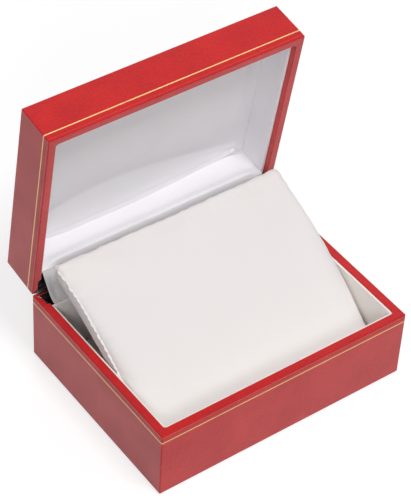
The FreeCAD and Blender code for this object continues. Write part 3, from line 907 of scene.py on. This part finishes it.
@dataclass(frozen=True)
class Wrap:
    """The leatherette of one half: outside faces, rim, the edge turned in and the edge turned under.

    Args:
        half: The half of the case it covers.
        node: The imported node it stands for.
        turned_under: Whether the closed face is open in the middle, as under the base.
    """

    half: Half
    node: str
    turned_under: bool
    turn_in: float = 6.0
    turn_under: float = 9.0
    corner: float = 0.45
    cloth: float = 0.2
    inner_corner: float = 1.2
    soft_edge: float = 0.32
    pressed_line: float = 1.15
    pressed_half_width: float = 0.16
    pressed_depth: float = 0.1
    foil_from: float = 2.85
    foil_to: float = 3.25
    foil_depth: float = 0.12

    def outer_side(self, x: float, y: float) -> bool:
        """Say whether a point in metres lies on the outer sides."""
        return abs(x) > (HALF_WIDTH - 0.95) * MM or abs(y) > (HALF_DEPTH - 0.95) * MM

    def drop(self, z: float) -> float:
        """Return how many millimetres a height in metres lies in from the rim."""
        return (z / MM - self.half.rim) * self.half.inward

    def fold(self, piece: Piece) -> None:
        """Turn the wrap in over the rim, and under the closed face.

        Args:
            piece: The wrap.
        """
        half = self.half
        with editing(piece):
            choose(piece, "faces", lambda face: abs(self.drop(face.calc_center_median().z)) < 0.01)
            bpy.ops.mesh.inset(thickness=MOUTH_INSET * MM)
            bpy.ops.mesh.extrude_region_move(
                TRANSFORM_OT_translate={"value": (0, 0, half.inward * self.turn_in * MM)})
            bpy.ops.mesh.delete(type="FACE")
            if self.turned_under:
                choose(piece, "faces",
                       lambda face: abs(self.drop(face.calc_center_median().z) - half.height) < 0.01)
                bpy.ops.mesh.inset(thickness=self.turn_under * MM)
                bpy.ops.mesh.delete(type="FACE")

    def round_corners(self, piece: Piece) -> None:
        """Round the upright corners, and then the edges of the rim and of the closed face.

        Args:
            piece: The wrap.
        """
        def upright(edge: bmesh.types.BMEdge, outside: bool) -> bool:
            """Say whether an edge stands upright on the outer sides, or on the inner ones.

            Args:
                edge: The edge.
                outside: Whether the outer sides are meant.

            Returns:
                Whether it does.
            """
            first, last = (vertex.co for vertex in edge.verts)
            return (abs(first.z - last.z) > MM and (first - last).xy.length < 0.01 * MM
                    and self.outer_side(first.x, first.y) is outside)

        def level(edge: bmesh.types.BMEdge) -> bool:
            """Say whether an edge bounds the flat of the rim or of the closed face.

            Args:
                edge: The edge.

            Returns:
                Whether it does.
            """
            drops = [self.drop(vertex.co.z) for vertex in edge.verts]
            flat = any(abs(drops[0] - at) < 0.01 and abs(drops[1] - at) < 0.01
                       for at in (0.0, self.half.height))
            return flat and any(abs(face.normal.z) < 0.5 for face in edge.link_faces)

        for outside, radius in ((True, self.corner), (False, self.inner_corner)):
            with editing(piece, "EDGE"):
                choose(piece, "edges", lambda edge: upright(edge, outside))
                bpy.ops.mesh.bevel(offset=radius * MM, segments=4, affect="EDGES")
        with editing(piece, "EDGE"):
            choose(piece, "edges", level)
            bpy.ops.mesh.bevel(offset=self.soft_edge * MM, segments=3, affect="EDGES")

    def press_lines(self, piece: Piece) -> None:
        """Press the fine line under the rim and the seat of the foil line.

        Args:
            piece: The wrap.
        """
        line, reach = self.pressed_line, self.pressed_half_width
        cuts = (line - reach, line, line + reach, self.foil_from, self.foil_to)
        with editing(piece):
            for drop in cuts:
                bpy.ops.mesh.select_all(action="SELECT")
                bpy.ops.mesh.bisect(plane_co=(0, 0, self.half.level(drop) * MM), plane_no=(0, 0, 1))
        with editing(piece, "VERT"):
            choose(piece, "verts", lambda vertex: abs(self.drop(vertex.co.z) - line) < 0.01
                   and self.outer_side(vertex.co.x, vertex.co.y))
            bpy.ops.transform.shrink_fatten(value=-self.pressed_depth * MM)
        with editing(piece):
            choose(piece, "faces", lambda face: self.foil_from < self.drop(face.calc_center_median().z)
                   < self.foil_to and self.outer_side(*face.calc_center_median().xy))
            bpy.ops.mesh.extrude_region_shrink_fatten(
                TRANSFORM_OT_shrink_fatten={"value": -self.foil_depth * MM})

    def hinge_cutters(self) -> list[Piece]:
        """Make the blocks that cut room for the hinge in the rear of the rim.

        Returns:
            The blocks.
        """
        half = self.half
        flange = start_block("flange_room", *half.span(FLANGE_END, FLARE_Y, HALF_DEPTH + 1.0, -1.0, 0.65))
        with editing(flange, "EDGE"):
            choose(flange, "edges", lambda edge: edge.calc_length() < 2 * MM and all(
                vertex.co.y < (FLARE_Y + 0.1) * MM for vertex in edge.verts))
            bpy.ops.mesh.bevel(offset=FLARE * MM, segments=1, affect="EDGES")
        plate = start_block("plate_room",
                            *half.span(CHEEK_OUTER - 0.03, CHEEK_FRONT, HALF_DEPTH - 2.57, -1.0, 8.0))
        bridge = start_block("bridge_room",
                             *half.span(CHEEK_OUTER, HALF_DEPTH - 3.5, FLARE_Y + 0.5, -1.0, 0.65))
        return [flange, plate, bridge]

    def build(self) -> Piece:
        """Model the wrap.

        Returns:
            The finished piece.
        """
        front, rear = -HALF_DEPTH, HALF_DEPTH
        piece = start_block(self.half.body.value + "_leatherette",
                            *self.half.span(HALF_WIDTH, front, rear, 0.0, self.half.height))
        self.fold(piece)
        self.round_corners(piece)
        self.press_lines(piece)
        face_out(piece)
        apply_modifier(piece, "SOLIDIFY", thickness=self.cloth * MM, offset=-1.0, use_even_offset=False)
        for cutter in self.hinge_cutters():
            face_out(cutter)
            apply_modifier(piece, "BOOLEAN", object=cutter, operation="DIFFERENCE", solver="FAST")
            bpy.data.objects.remove(cutter)
        flatten_shading(piece)
        self.half.settle(piece)
        return hand_over(piece, LEATHERETTE, self.half.body, self.node)


@dataclass(frozen=True)
class Collar:
    """A covered card collar inside one half: front and both sides, open towards the hinge."""

    name: str
    node: str
    half: Half
    finish: Finish
    card: float
    drop_from: float
    drop_to: float
    rear: float
    corner: float = 1.2
    soft_edge: float = 0.3

    def build(self) -> Piece:
        """Model the collar.

        Returns:
            The finished piece.
        """
        half_x, front = HALF_WIDTH - MOUTH_INSET, -HALF_DEPTH + MOUTH_INSET
        piece = start_block(self.name, *self.half.span(half_x, front, self.rear, self.drop_from,
                                                       self.drop_to))
        with editing(piece):
            choose(piece, "faces", lambda face: abs(face.normal.z) > 0.5 or face.normal.y > 0.5)
            bpy.ops.mesh.delete(type="FACE")
        with editing(piece, "EDGE"):
            choose(piece, "edges", lambda edge: all(vertex.co.y < 0 for vertex in edge.verts)
                   and edge.calc_length() < 30 * MM)
            bpy.ops.mesh.bevel(offset=self.corner * MM, segments=4, affect="EDGES")
        apply_modifier(piece, "SOLIDIFY", thickness=self.card * MM, offset=-1.0, use_even_offset=True)
        face_out(piece)
        round_edges(piece, self.soft_edge)
        flatten_shading(piece)
        self.half.settle(piece)
        return hand_over(piece, self.finish, self.half.body, self.node)


@dataclass(frozen=True)
class RearCard:
    """A covered card that stands forward of the hinge, softly rounded at its edges."""

    name: str
    node: str
    half: Half
    finish: Finish
    half_x: float
    front: float
    rear: float
    drop_from: float
    drop_to: float
    bulge: float = 0.0
    soft_edge: float = 0.35
    cuts: int = 40

    def swell(self, piece: Piece) -> None:
        """Let the cover stand off the card's front face in a soft roll, with small creases at its ends.

        Args:
            piece: The card.
        """
        cut_up(piece, self.cuts)
        for vertex in piece.data.vertices:
            x, y, z = vertex.co / MM
            if y > (self.front + self.rear) / 2:
                continue
            up = ((z - self.half.rim) * self.half.inward - self.drop_from) / (self.drop_to - self.drop_from)
            to_end = (self.half_x - abs(x)) / 7.0
            near = 0.75 * math.exp(-((up - 0.1) / 0.2) ** 2)
            roll = (near + max(0.0, up) ** 1.6) * soft_step((1 - up) / 0.12) * soft_step(to_end)
            roll *= soft_step(up / 0.06)
            crease = 0.35 * noise.noise(Vector((x * 0.12, up * 2.5, 2.2))) + 0.5 * math.exp(
                -self.half_x / 4 + abs(x) / 4) * math.cos(9 * up)
            vertex.co.y -= roll * (self.bulge + crease) * MM

    def build(self) -> Piece:
        """Model the card.

        Returns:
            The finished piece.
        """
        piece = start_block(self.name, *self.half.span(self.half_x, self.front, self.rear, self.drop_from,
                                                       self.drop_to))
        if self.bulge:
            self.swell(piece)
        round_edges(piece, self.soft_edge)
        smooth(piece)
        self.half.settle(piece)
        return hand_over(piece, self.finish, self.half.body, self.node)


@dataclass(frozen=True)
class CeilingPad:
    """The satin ceiling of the lid, drawn over a thin foam form and glued down round it."""

    half: Half = LID
    half_x: float = 46.9
    front: float = -35.0
    rear: float = 30.3
    flat_drop: float = 13.55
    back_drop: float = 13.9
    rise: float = 2.0
    low: float = 0.2
    spread: float = 4.6
    fold_rise: float = 2.6
    groove: float = 0.45
    form_half_x: float = 44.6
    form_front: float = -33.8
    form_rear: float = 27.2
    slope: float = 8.0
    step: float = 0.7

    def rear_slope(self, x: float) -> float:
        """Return how wide the rear slope is there: wide in the middle, drawn in at the corners."""
        across = min(1.0, max(0.0, (x + self.form_half_x) / (2 * self.form_half_x)))
        return 2.5 + 11.5 * math.sin(math.pi * across ** 0.62) ** 0.8

    def star(self, x: float, y: float) -> float:
        """Work out the height of the creases that fan out from the two rear corners.

        Args:
            x: The place across the lid.
            y: The place from front to rear.

        Returns:
            The height, in millimetres.
        """
        height = 0.0
        for side, depth in ((1, 0.5), (-1, 0.25)):
            run = Vector((self.form_half_x - 0.5 - side * x, self.form_rear - 0.5 - y))
            reach = run.length
            turn = math.atan2(run.y, run.x)
            fan = math.cos(9.0 * turn + 0.8 * side) + 0.5 * math.cos(15.0 * turn)
            height += depth * fan * soft_step(reach / 2.0) * math.exp(-reach / 7.5)
        return height

    def drop_at(self, x: float, y: float) -> float:
        """Work out how far in from the rim the satin lies.

        Args:
            x: The place across the lid.
            y: The place from front to rear.

        Returns:
            The drop, in millimetres.
        """
        to_side = soft_step((self.form_half_x - abs(x)) / self.slope)
        to_front = soft_step((y - self.form_front) / self.slope)
        from_rear, wide = max(0.0, self.form_rear - y), self.rear_slope(x)
        ramp = max(0.0, 1 - from_rear / wide) ** 1.5
        past = max(0.0, from_rear - wide)
        pull = 0.4 * noise.noise(Vector((x * 0.045 + y * 0.02, y * 0.07, 1.7)))
        crown = self.low + (self.rise - self.low) * (1 - math.exp(-(past / self.spread) ** 1.4)) + pull
        bridge = self.fold_rise * ramp * min(1.0, (wide - 1.5) / 12.0)
        bridge -= self.groove * math.exp(-((from_rear - 1.2) / 0.5) ** 2)
        return (self.flat_drop - (crown + bridge) * to_side ** 0.8 * to_front
                - self.star(x, y) * (0.3 + 0.7 * to_side))

    def build(self) -> Piece:
        """Model the padded ceiling.

        Returns:
            The finished piece.
        """
        bpy.ops.object.select_all(action="DESELECT")
        width, depth = 2 * self.half_x, self.rear - self.front
        bpy.ops.mesh.primitive_grid_add(x_subdivisions=round(width / self.step), size=1.0,
                                        y_subdivisions=round(depth / self.step),
                                        location=(0, (self.front + self.rear) / 2 * MM, 0),
                                        scale=(width * MM, depth * MM, 1.0))
        piece = bpy.context.object
        piece.name = piece.data.name = "lid_ceiling_pad"
        piece.scale = (width * MM, depth * MM, 1.0)
        fix_place()
        with editing(piece):
            bpy.ops.mesh.select_all(action="SELECT")
            bpy.ops.mesh.extrude_region_move(TRANSFORM_OT_translate={"value": (0, 0, MM)})
        for vertex in piece.data.vertices:
            front_side = vertex.co.z < 0.5 * MM
            drop = self.drop_at(vertex.co.x / MM, vertex.co.y / MM) if front_side else self.back_drop
            vertex.co.z = self.half.level(drop) * MM
        face_out(piece)
        smooth(piece, 60)
        self.half.settle(piece)
        hand_over(piece, SATIN, self.half.body, "lid_satin_pad", "lid_pad_foam")
        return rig.padded(piece, fill=0.5)


@dataclass(frozen=True)
class Apron:
    """The loose satin strip that hides the hinge, from the base's rear card to the open lid."""

    half_x: float = 45.9
    thickness: float = 0.25
    profile: tuple[Point, ...] = ((30.7, 27.78), (33.0, 27.6), (34.6, 30.8), (38.28, 36.45))
    steps: int = 14
    columns: int = 150
    measured: int = 39

    def point(self, share: float) -> Point:
        """Find a point of the strip's middle line.

        Args:
            share: How far up it the point lies, from 0 to 1.

        Returns:
            Its y and z, in millimetres.
        """
        (ay, az), (by, bz), (cy, cz), (dy, dz) = self.profile
        rest = 1 - share
        weights = (rest ** 3, 3 * rest * rest * share, 3 * rest * share * share, share ** 3)
        return (sum(w * v for w, v in zip(weights, (ay, by, cy, dy))),
                sum(w * v for w, v in zip(weights, (az, bz, cz, dz))))

    def build(self) -> Piece:
        """Model the strip and blend it between base and lid.

        Returns:
            The finished piece.
        """
        bpy.ops.object.select_all(action="DESELECT")
        bpy.ops.mesh.primitive_grid_add(x_subdivisions=self.columns, y_subdivisions=self.steps, size=2.0)
        piece = bpy.context.object
        piece.name = piece.data.name = "hinge_satin_apron"
        line = [self.point(index / self.measured) for index in range(self.measured + 1)]
        length = sum(math.dist(here, following) for here, following in zip(line, line[1:]))
        for vertex in piece.data.vertices:
            across, up = vertex.co.x, (vertex.co.y + 1) / 2
            y, z = self.point(up)
            sag = 4 * up * (1 - up)
            ripple = 0.32 * sag * noise.noise(Vector((across * 7.0, up * 0.8, 4.2)))
            pleat = 0.2 * sag * math.sin(across * 62.0 + 4.0 * noise.noise(Vector((across * 9.0, 0.3, 0.0))))
            vertex.co = Vector((across * self.half_x, y - ripple - pleat, z + 0.5 * ripple)) * MM
        apply_modifier(piece, "SOLIDIFY", thickness=self.thickness * MM, offset=0.0)
        face_out(piece)
        smooth(piece, 60)
        # The apron takes the grey satin copy, whose darkness is painted shade.
        hand_over(piece, PAINTED_SHADE_SATIN, None, "hinge_apron")
        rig.sheet(piece, flat=(2 * self.half_x * MM, length * MM), held="stretched",
                 rests_on=["base_rear_card", "lid_rear_card"])
        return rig.blend(piece, Body.BASE.value, Body.LID.value, start=(0, 0.0322, 0.0277),
                        end=(0, 0.0374, 0.0356))


# ---------------------------------------------------------------- the pillow

@dataclass(frozen=True)
class Arc:
    """A shallow arc in a plane, from start to end, that bows to its left.

    Args:
        start: Its first end, as (y, z) in millimetres.
        end: Its other end.
        bow: How far it bows.
        front_pull: How strongly its fullest place is drawn towards the end.
        rear_pull: How strongly it is drawn towards the start.
    """

    start: Point
    end: Point
    bow: float
    front_pull: float = 1.0
    rear_pull: float = 1.0

    def at(self, share: float) -> Vector:
        """Find a point of the arc.

        Args:
            share: How far along it the point lies, from 0 to 1.

        Returns:
            The point.
        """
        run = Vector(self.end) - Vector(self.start)
        aside = Vector((-run.y, run.x)).normalized()
        a, b = self.front_pull, self.rear_pull
        fullest = a ** a * b ** b / (a + b) ** (a + b)
        return Vector(self.start) + run * share + aside * (self.bow * share ** a * (1 - share) ** b / fullest)


@dataclass(frozen=True)
class Section:
    """A closed cross-section of the pillow, patched between four arcs."""

    top: Arc
    rear: Arc
    under: Arc
    front: Arc

    def at(self, along: float, up: float) -> Vector:
        """Find a point of the section.

        Args:
            along: From 0 at the front to 1 at the rear.
            up: From 0 below to 1 above.

        Returns:
            The point.
        """
        across = self.under.at(1 - along) * (1 - up) + self.top.at(along) * up
        upright = self.front.at(up) * (1 - along) + self.rear.at(1 - up) * along
        low = Vector(self.under.end) * (1 - along) + Vector(self.under.start) * along
        high = Vector(self.top.start) * (1 - along) + Vector(self.top.end) * along
        return across + upright - low * (1 - up) - high * up


def section(nose: Point, rear_top: Point, rear_low: Point, front_low: Point, bows: Sequence[float],
            pulls: Point = (1.0, 1.0)) -> Section:
    """Return a section from its corners, the bows of its four arcs and the pulls of its top."""
    return Section(Arc(nose, rear_top, bows[0], *pulls), Arc(rear_top, rear_low, bows[1]),
                   Arc(rear_low, front_low, bows[2]), Arc(front_low, nose, bows[3]))


MIDDLE = section((-33.2, 8.6), (31.0, 45.4), (29.2, 28.6), (-30.2, 4.9), (7.2, 1.0, 5.8, 1.0), (1.0, 1.45))
LEFT_END = section((-30.8, 8.2), (33.2, 44.6), (31.4, 41.0), (-29.4, 5.6), (4.6, 0.3, -2.6, 0.4), (1.1, 1.0))
RIGHT_END = section((-30.8, 8.2), (31.2, 46.6), (29.0, 38.4), (-29.0, 6.0), (3.6, 0.8, -1.2, 0.4), (1.6, 1.0))


def seam_tree(points: Sequence[Vector]) -> KDTree:
    """Make a tree that finds the nearest of some points.

    Args:
        points: The points, in metres.

    Returns:
        The tree.
    """
    tree = KDTree(len(points))
    for index, point in enumerate(points):
        tree.insert(point, index)
    tree.balance()
    return tree


@dataclass(frozen=True)
class Pillow:
    """The display pillow: a foam wedge in a padded suede sleeve, seamed at both ends."""

    corner_x: float = 46.2
    widest: float = 45.9
    foremost: float = -34.05
    rearmost: float = 30.1
    lowest: float = 4.1
    pulled_in: float = 0.5
    seam_inset: float = 1.5
    end_zone: float = 8.0
    tuck_zone: float = 12.0
    corner_lift: float = 1.9
    cuts: int = 30
    voxel: float = 1.8
    reach: float = 1.4
    frames: int = 20
    pressure: float = 2.5
    tension: float = 40.0
    bending: float = 4.0
    seam_length: float = 72.0
    seam_steps: int = 160
    stitches: int = 32
    pucker_pitch: float = 2.7
    pucker_depth: float = 0.34
    squash_axis: tuple[float, float, float] = (0, 0.6, 0.8)
    squash_anchor: tuple[float, float, float] = (0, -0.031, 0.005)
    squash_keep: float = 0.86

    def half_length(self, along: float) -> float:
        """Return half the pillow's length: its ends pull in between their corners."""
        return self.corner_x - self.pulled_in * (1 - along ** 3) * (0.75 + 0.25 * min(1.0, 4 * along))

    def form(self, x: float, along: float, up: float) -> Vector:
        """Find a point of the slack pillow.

        Args:
            x: From -1 at the left end to 1 at the right.
            along: From 0 at the front to 1 at the rear.
            up: From 0 below to 1 above.

        Returns:
            The point, in millimetres.
        """
        half = self.half_length(along)
        to_end = (1 - abs(x)) * half
        into = min(1.0, max(0.0, 1 - to_end / self.end_zone))
        round_over = 1 - math.sqrt(max(0.0, 1 - into * into))
        tuck_in = max(0.0, 1 - to_end / self.tuck_zone) ** 1.25
        taper = tuck_in + (round_over - tuck_in) * up ** 0.6
        end = RIGHT_END if x > 0 else LEFT_END
        lift = Vector((0, self.corner_lift * abs(x) ** 3 * along ** 4 * up))
        place = (MIDDLE.at(along, up) + lift) * (1 - taper) + end.at(along, up) * taper
        return Vector((x * half, place.x, place.y))

    def seam(self, side: int, steps: int) -> list[Vector]:
        """Follow the seam of one end from front to rear.

        Args:
            side: -1 for the left end, 1 for the right.
            steps: How many steps are taken along it.

        Returns:
            The points between the steps, in metres.
        """
        end, up = (RIGHT_END, 0.25) if side > 0 else (LEFT_END, 0.95)
        points = []
        for along in (step / steps for step in range(steps + 1)):
            x = side * (self.half_length(along) - self.seam_inset)
            points.append(Vector((x, *end.at(along, up))) * MM)
        return points

    def start(self) -> Piece:
        """Shape a block into the pillow's slack form.

        Returns:
            The slack form.
        """
        piece = start_block("pillow", (-1, -1, -1), (1, 1, 1))
        cut_up(piece, self.cuts)
        for vertex in piece.data.vertices:
            x, along, up = vertex.co / MM
            eased = math.copysign(1 - (1 - abs(x)) ** 1.4, x)
            vertex.co = self.form(eased, (along + 1) / 2, (up + 1) / 2) * MM
        apply_modifier(piece, "REMESH", mode="VOXEL", voxel_size=self.voxel * MM)
        return piece

    def inflate(self, piece: Piece) -> None:
        """Let the slack form swell as padded cloth, held at its seams.

        Args:
            piece: The slack form.
        """
        seams = seam_tree(self.seam(-1, 60) + self.seam(1, 60))
        held = piece.vertex_groups.new(name="seams")
        for vertex in piece.data.vertices:
            near = seams.find(vertex.co)[2]
            held.add([vertex.index], 1 - soft_step((near / MM - 0.9) / 3.0), "REPLACE")
        before = [vertex.co.copy() for vertex in piece.data.vertices]
        cloth = piece.modifiers.new("cloth", "CLOTH")
        cloth.settings.vertex_group_mass = held.name
        cloth.settings.use_pressure = True
        cloth.settings.uniform_pressure_force = self.pressure
        cloth.settings.tension_stiffness = self.tension
        cloth.settings.bending_stiffness = self.bending
        cloth.settings.effector_weights.gravity = 0.0
        cloth.collision_settings.use_collision = False
        cloth.point_cache.frame_start, cloth.point_cache.frame_end = 1, self.frames
        for number in range(1, self.frames + 1):
            bpy.context.scene.frame_set(number)
        only(piece)
        bpy.ops.object.modifier_apply(modifier=cloth.name)
        for vertex, start in zip(piece.data.vertices, before):
            moved = vertex.co - start
            limit = self.reach * MM
            if moved.length > limit:
                moved *= limit / moved.length
            vertex.co = start + moved
        bpy.context.scene.frame_set(1)

    def pucker(self, piece: Piece) -> None:
        """Draw the cloth into small puckers along the seams, and soften its rear edge with a few more.

        Args:
            piece: The swollen form.
        """
        trees = {side: seam_tree(self.seam(side, self.seam_steps)) for side in (-1, 1)}
        normals = [vertex.normal.copy() for vertex in piece.data.vertices]
        for vertex, normal in zip(piece.data.vertices, normals):
            x, y, z = vertex.co / MM
            _, step, apart = trees[-1 if x < 0 else 1].find(vertex.co)
            run, apart = step * self.seam_length / self.seam_steps, apart / MM
            wave = 0.5 + 0.5 * math.cos(2 * math.pi * run / self.pucker_pitch
                                        + 1.5 * noise.noise(Vector((run * 0.3, x, 0.0))))
            inward = self.pucker_depth * wave * math.exp(-apart / 1.9)
            inward += 0.5 * noise.noise(Vector((run * 0.22, x * 0.05, 3.1))) * math.exp(-apart / 5.0)
            edge = math.exp(-((y - 29.5) ** 2 + (z - 45.5) ** 2) / 30.0)
            inward += 0.36 * edge * noise.noise(Vector((x * 0.4, y * 0.08, 6.6)))
            vertex.co -= normal * inward * MM

    def fit(self, piece: Piece) -> None:
        """Keep the pillow inside its hollow: clear of the linings, the floor and the rear card.

        Args:
            piece: The puckered form.
        """
        for vertex in piece.data.vertices:
            x, y, z = vertex.co / MM
            x = math.copysign(min(abs(x), self.widest), x)
            y = max(y, self.foremost + 0.15 * soft_step((z - 27.0) / 2))
            y = min(y, self.rearmost + 3.1 * soft_step((z - 28.0) / 8))
            z = max(z, self.lowest)
            vertex.co = Vector((x, y, z)) * MM

    def squashed(self, piece: Piece) -> Piece:
        """Let a piece flatten under the shut lid, and return it."""
        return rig.squash(piece, "lid_hinge", axis=self.squash_axis, anchor=self.squash_anchor,
                         keep=self.squash_keep)

    def build_cushion(self) -> Piece:
        """Model the padded sleeve.

        Returns:
            The finished piece.
        """
        piece = self.start()
        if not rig.quick():
            self.inflate(piece)
        apply_modifier(piece, "SMOOTH", iterations=5, factor=0.5)
        apply_modifier(piece, "SUBSURF", levels=1, render_levels=1)
        self.pucker(piece)
        self.fit(piece)
        face_out(piece)
        smooth(piece, 180)
        hand_over(piece, SUEDE, Body.PILLOW, "pillow_core", "pillow_sleeve", "pillow_ends")
        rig.padded(piece, fill=0.8)
        return self.squashed(piece)

    def build_seams(self, cushion: Piece) -> Piece:
        """Model the stitched bead along both end seams, one puff copied from stitch to stitch.

        Args:
            cushion: The finished cushion that the bead lies on.

        Returns:
            The bead.
        """
        surface = BVHTree.FromPolygons([vertex.co for vertex in cushion.data.vertices],
                                       [face.vertices for face in cushion.data.polygons])
        bpy.ops.object.select_all(action="DESELECT")
        bpy.ops.mesh.primitive_uv_sphere_add(segments=10, ring_count=7, radius=MM)
        puff = bpy.context.object
        puff.scale = (0.6, 1.45, 0.28)
        fix_place()
        for vertex in puff.data.vertices:
            vertex.co.z += 0.12 * MM * math.cos(vertex.co.y / MM * math.pi)
        copies = []
        for side in (-1, 1):
            laid = [surface.find_nearest(point)[:2] for point in self.seam(side, self.stitches)]
            line = [place for place, _ in laid]
            for index in range(2, len(line) - 1):
                tangent = (line[index + 1] - line[index - 1]).normalized()
                out = laid[index][1] + Vector((0.6 * side, 0, 0))
                across = (out - tangent * out.dot(tangent)).normalized()
                turned = Matrix((across, tangent, across.cross(tangent))).transposed()
                copy = puff.copy()
                copy.data = puff.data.copy()
                bpy.context.scene.collection.objects.link(copy)
                wobble = 1 + 0.16 * noise.noise(Vector((index * 0.7, side, 0)))
                copy.matrix_world = (Matrix.Translation(line[index] + across * 0.12 * MM)
                                     @ turned.to_4x4() @ Matrix.Scale(wobble, 4))
                copies.append(copy)
        bpy.data.objects.remove(puff)
        piece = join("pillow_stitched_seams", copies)
        fix_place()
        for vertex in piece.data.vertices:
            vertex.co.x = math.copysign(min(abs(vertex.co.x), self.widest * MM), vertex.co.x)
        smooth(piece, 180)
        hand_over(piece, SUEDE, Body.PILLOW, "pillow_seams")
        return self.squashed(piece)

    def build(self) -> None:
        """Model the pillow and its seams."""
        self.build_seams(self.build_cushion())


# ---------------------------------------------------------------- the studio

@dataclass(frozen=True)
class Studio:
    """A pale floor, soft light from above and the camera."""

    camera_at: tuple[float, float, float] = (-0.3099, -0.38595, 0.5188)
    right: tuple[float, float, float] = (0.8113, -0.5830, 0.0443)
    up: tuple[float, float, float] = (0.37421, 0.57605, 0.72673)
    forward: tuple[float, float, float] = (0.44918, 0.57300, -0.68550)
    lens: float = 149.3
    sky: float = 0.31
    floor_tone: float = 0.42
    floor_glow: float = 0.67

    def add_camera(self) -> None:
        """Add the camera and make it the scene's own."""
        data = bpy.data.cameras.new("camera")
        data.lens, data.sensor_width = self.lens, 36.0
        data.clip_start, data.clip_end = 0.01, 20.0
        camera = bpy.data.objects.new("camera", data)
        bpy.context.scene.collection.objects.link(camera)
        turned = Matrix((self.right, self.up, [-part for part in self.forward])).transposed()
        camera.matrix_world = Matrix.Translation(self.camera_at) @ turned.to_4x4()
        bpy.context.scene.camera = camera

    def add_light(self, name: str, place: Sequence[float], size: float, power: float) -> None:
        """Add a square soft light aimed at the box.

        Args:
            name: Its name.
            place: Where it hangs, in metres.
            size: The side of the square, in metres.
            power: Its power, in watts.
        """
        data = bpy.data.lights.new(name, "AREA")
        data.size, data.energy = size, power
        light = bpy.data.objects.new(name, data)
        bpy.context.scene.collection.objects.link(light)
        light.location = place
        light.rotation_euler = (Vector((0, 0, 0.03)) - Vector(place)).to_track_quat("-Z", "Y").to_euler()

    def seen_mask(self, wiring: Wiring) -> Socket:
        """Tell what the camera sees, by itself, in gloss or through glass.

        Args:
            wiring: The material's or the world's wiring.

        Returns:
            1 for what is seen and 0 for the rest.
        """
        path = wiring.add("LightPath")
        seen = wiring.math("MAXIMUM", path.outputs["Is Camera Ray"], path.outputs["Is Glossy Ray"])
        return wiring.math("MAXIMUM", seen, path.outputs["Is Transmission Ray"])

    def add_world(self) -> None:
        """Light the scene evenly, with a white surround where it is seen."""
        world = bpy.data.worlds.new("surround")
        bpy.context.scene.world = world
        world.use_nodes = True
        wiring = Wiring(world.node_tree)
        background = world.node_tree.nodes["Background"]
        strength = wiring.add("Mix", data_type="FLOAT")
        strength.inputs[2].default_value, strength.inputs[3].default_value = self.sky, 1.0
        wiring.feed(strength.inputs[0], self.seen_mask(wiring))
        background.inputs["Color"].default_value = (1.0, 1.0, 1.0, 1.0)
        wiring.feed(background.inputs["Strength"], strength.outputs[0])

    def add_floor(self) -> None:
        """Lay the pale floor."""
        bpy.ops.object.select_all(action="DESELECT")
        bpy.ops.mesh.primitive_plane_add(size=4.0, location=(0, 0, -0.00002))
        floor = bpy.context.object
        floor.name = "floor"
        fix_place()
        material = bpy.data.materials.new("pale_floor")
        material.use_nodes = True
        wiring = Wiring(material.node_tree)
        shader = material.node_tree.nodes["Principled BSDF"].inputs
        shader["Base Color"].default_value = (self.floor_tone, self.floor_tone, self.floor_tone, 1.0)
        shader["Roughness"].default_value = 1.0
        shader["Specular IOR Level"].default_value = 0.0
        shader["Emission Color"].default_value = (1.0, 1.0, 1.0, 1.0)
        glow = wiring.math("MULTIPLY", self.seen_mask(wiring), self.floor_glow)
        wiring.feed(shader["Emission Strength"], glow)
        floor.data.materials.append(material)
        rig.stage(floor)

    def build(self) -> None:
        """Set up the camera, the lights and the floor."""
        self.add_camera()
        self.add_world()
        self.add_floor()
        self.add_light("key", (0.08, -0.56, 1.17), 0.4, 7.7)
        self.add_light("front_fill", (-0.64, -0.98, 0.8), 0.4, 4.2)
        self.add_light("rear_fill", (0.5, 1.0, 0.8), 0.5, 2.2)
        bpy.context.scene.view_settings.view_transform = "Standard"


# ---------------------------------------------------------------- the whole box

def build_case() -> None:
    """Build the leatherette, the linings and the apron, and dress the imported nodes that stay."""
    Wrap(BASE, "base_wrap", turned_under=True).build()
    Wrap(LID, "lid_wrap", turned_under=False).build()
    # The base's collar, rear card and floor pad take the lighter suede copy, whose extra lightness and warmth are
    # painted light.
    Collar("base_side_card", "base_side_lining", BASE, PAINTED_LIGHT_LINING, 0.8, 0.4, 25.3, 31.15).build()
    Collar("lid_side_card", "lid_side_lining", LID, SATIN, 1.0, 2.0, 13.6, 30.45).build()
    RearCard("base_rear_card", "base_rear_lining", BASE, PAINTED_LIGHT_LINING, 46.2, 30.35, 31.15, 0.4, 25.3).build()
    RearCard("lid_rear_card", "lid_rear_lining", LID, SATIN, 46.0, 29.45, 30.45, 1.4, 13.6, bulge=2.6).build()
    CeilingPad().build()
    Apron().build()
    dress(FOIL, "base_gold_line", "lid_gold_line")
    dress(LEATHERETTE, "base_bottom_sheet")
    dress(PAINTED_LIGHT_LINING, "base_floor_pad")
    dress(PLASTIC, "base_shell", "lid_shell")
    dress(CARD, "lid_pad_board")
    dress(LACQUER, "hinge_base_leaf", "hinge_lid_leaf", "hinge_pin", "base_leaf_rivets", "lid_leaf_rivets")
    dress(SPRING, "snap_springs", "snap_spring_rivets")


def main() -> None:
    """Build the box and its surroundings, and report its size."""
    logging.basicConfig(level=logging.INFO, format="%(message)s")
    Studio().build()
    build_case()
    Pillow().build()
    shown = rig.bounds()
    with open("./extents.json", "w") as report:
        json.dump({"cad": [list(corner) for corner in CAD_BOX],
                   "visual": [list(corner) for corner in shown]}, report)


if __name__ == "__main__":
    main()
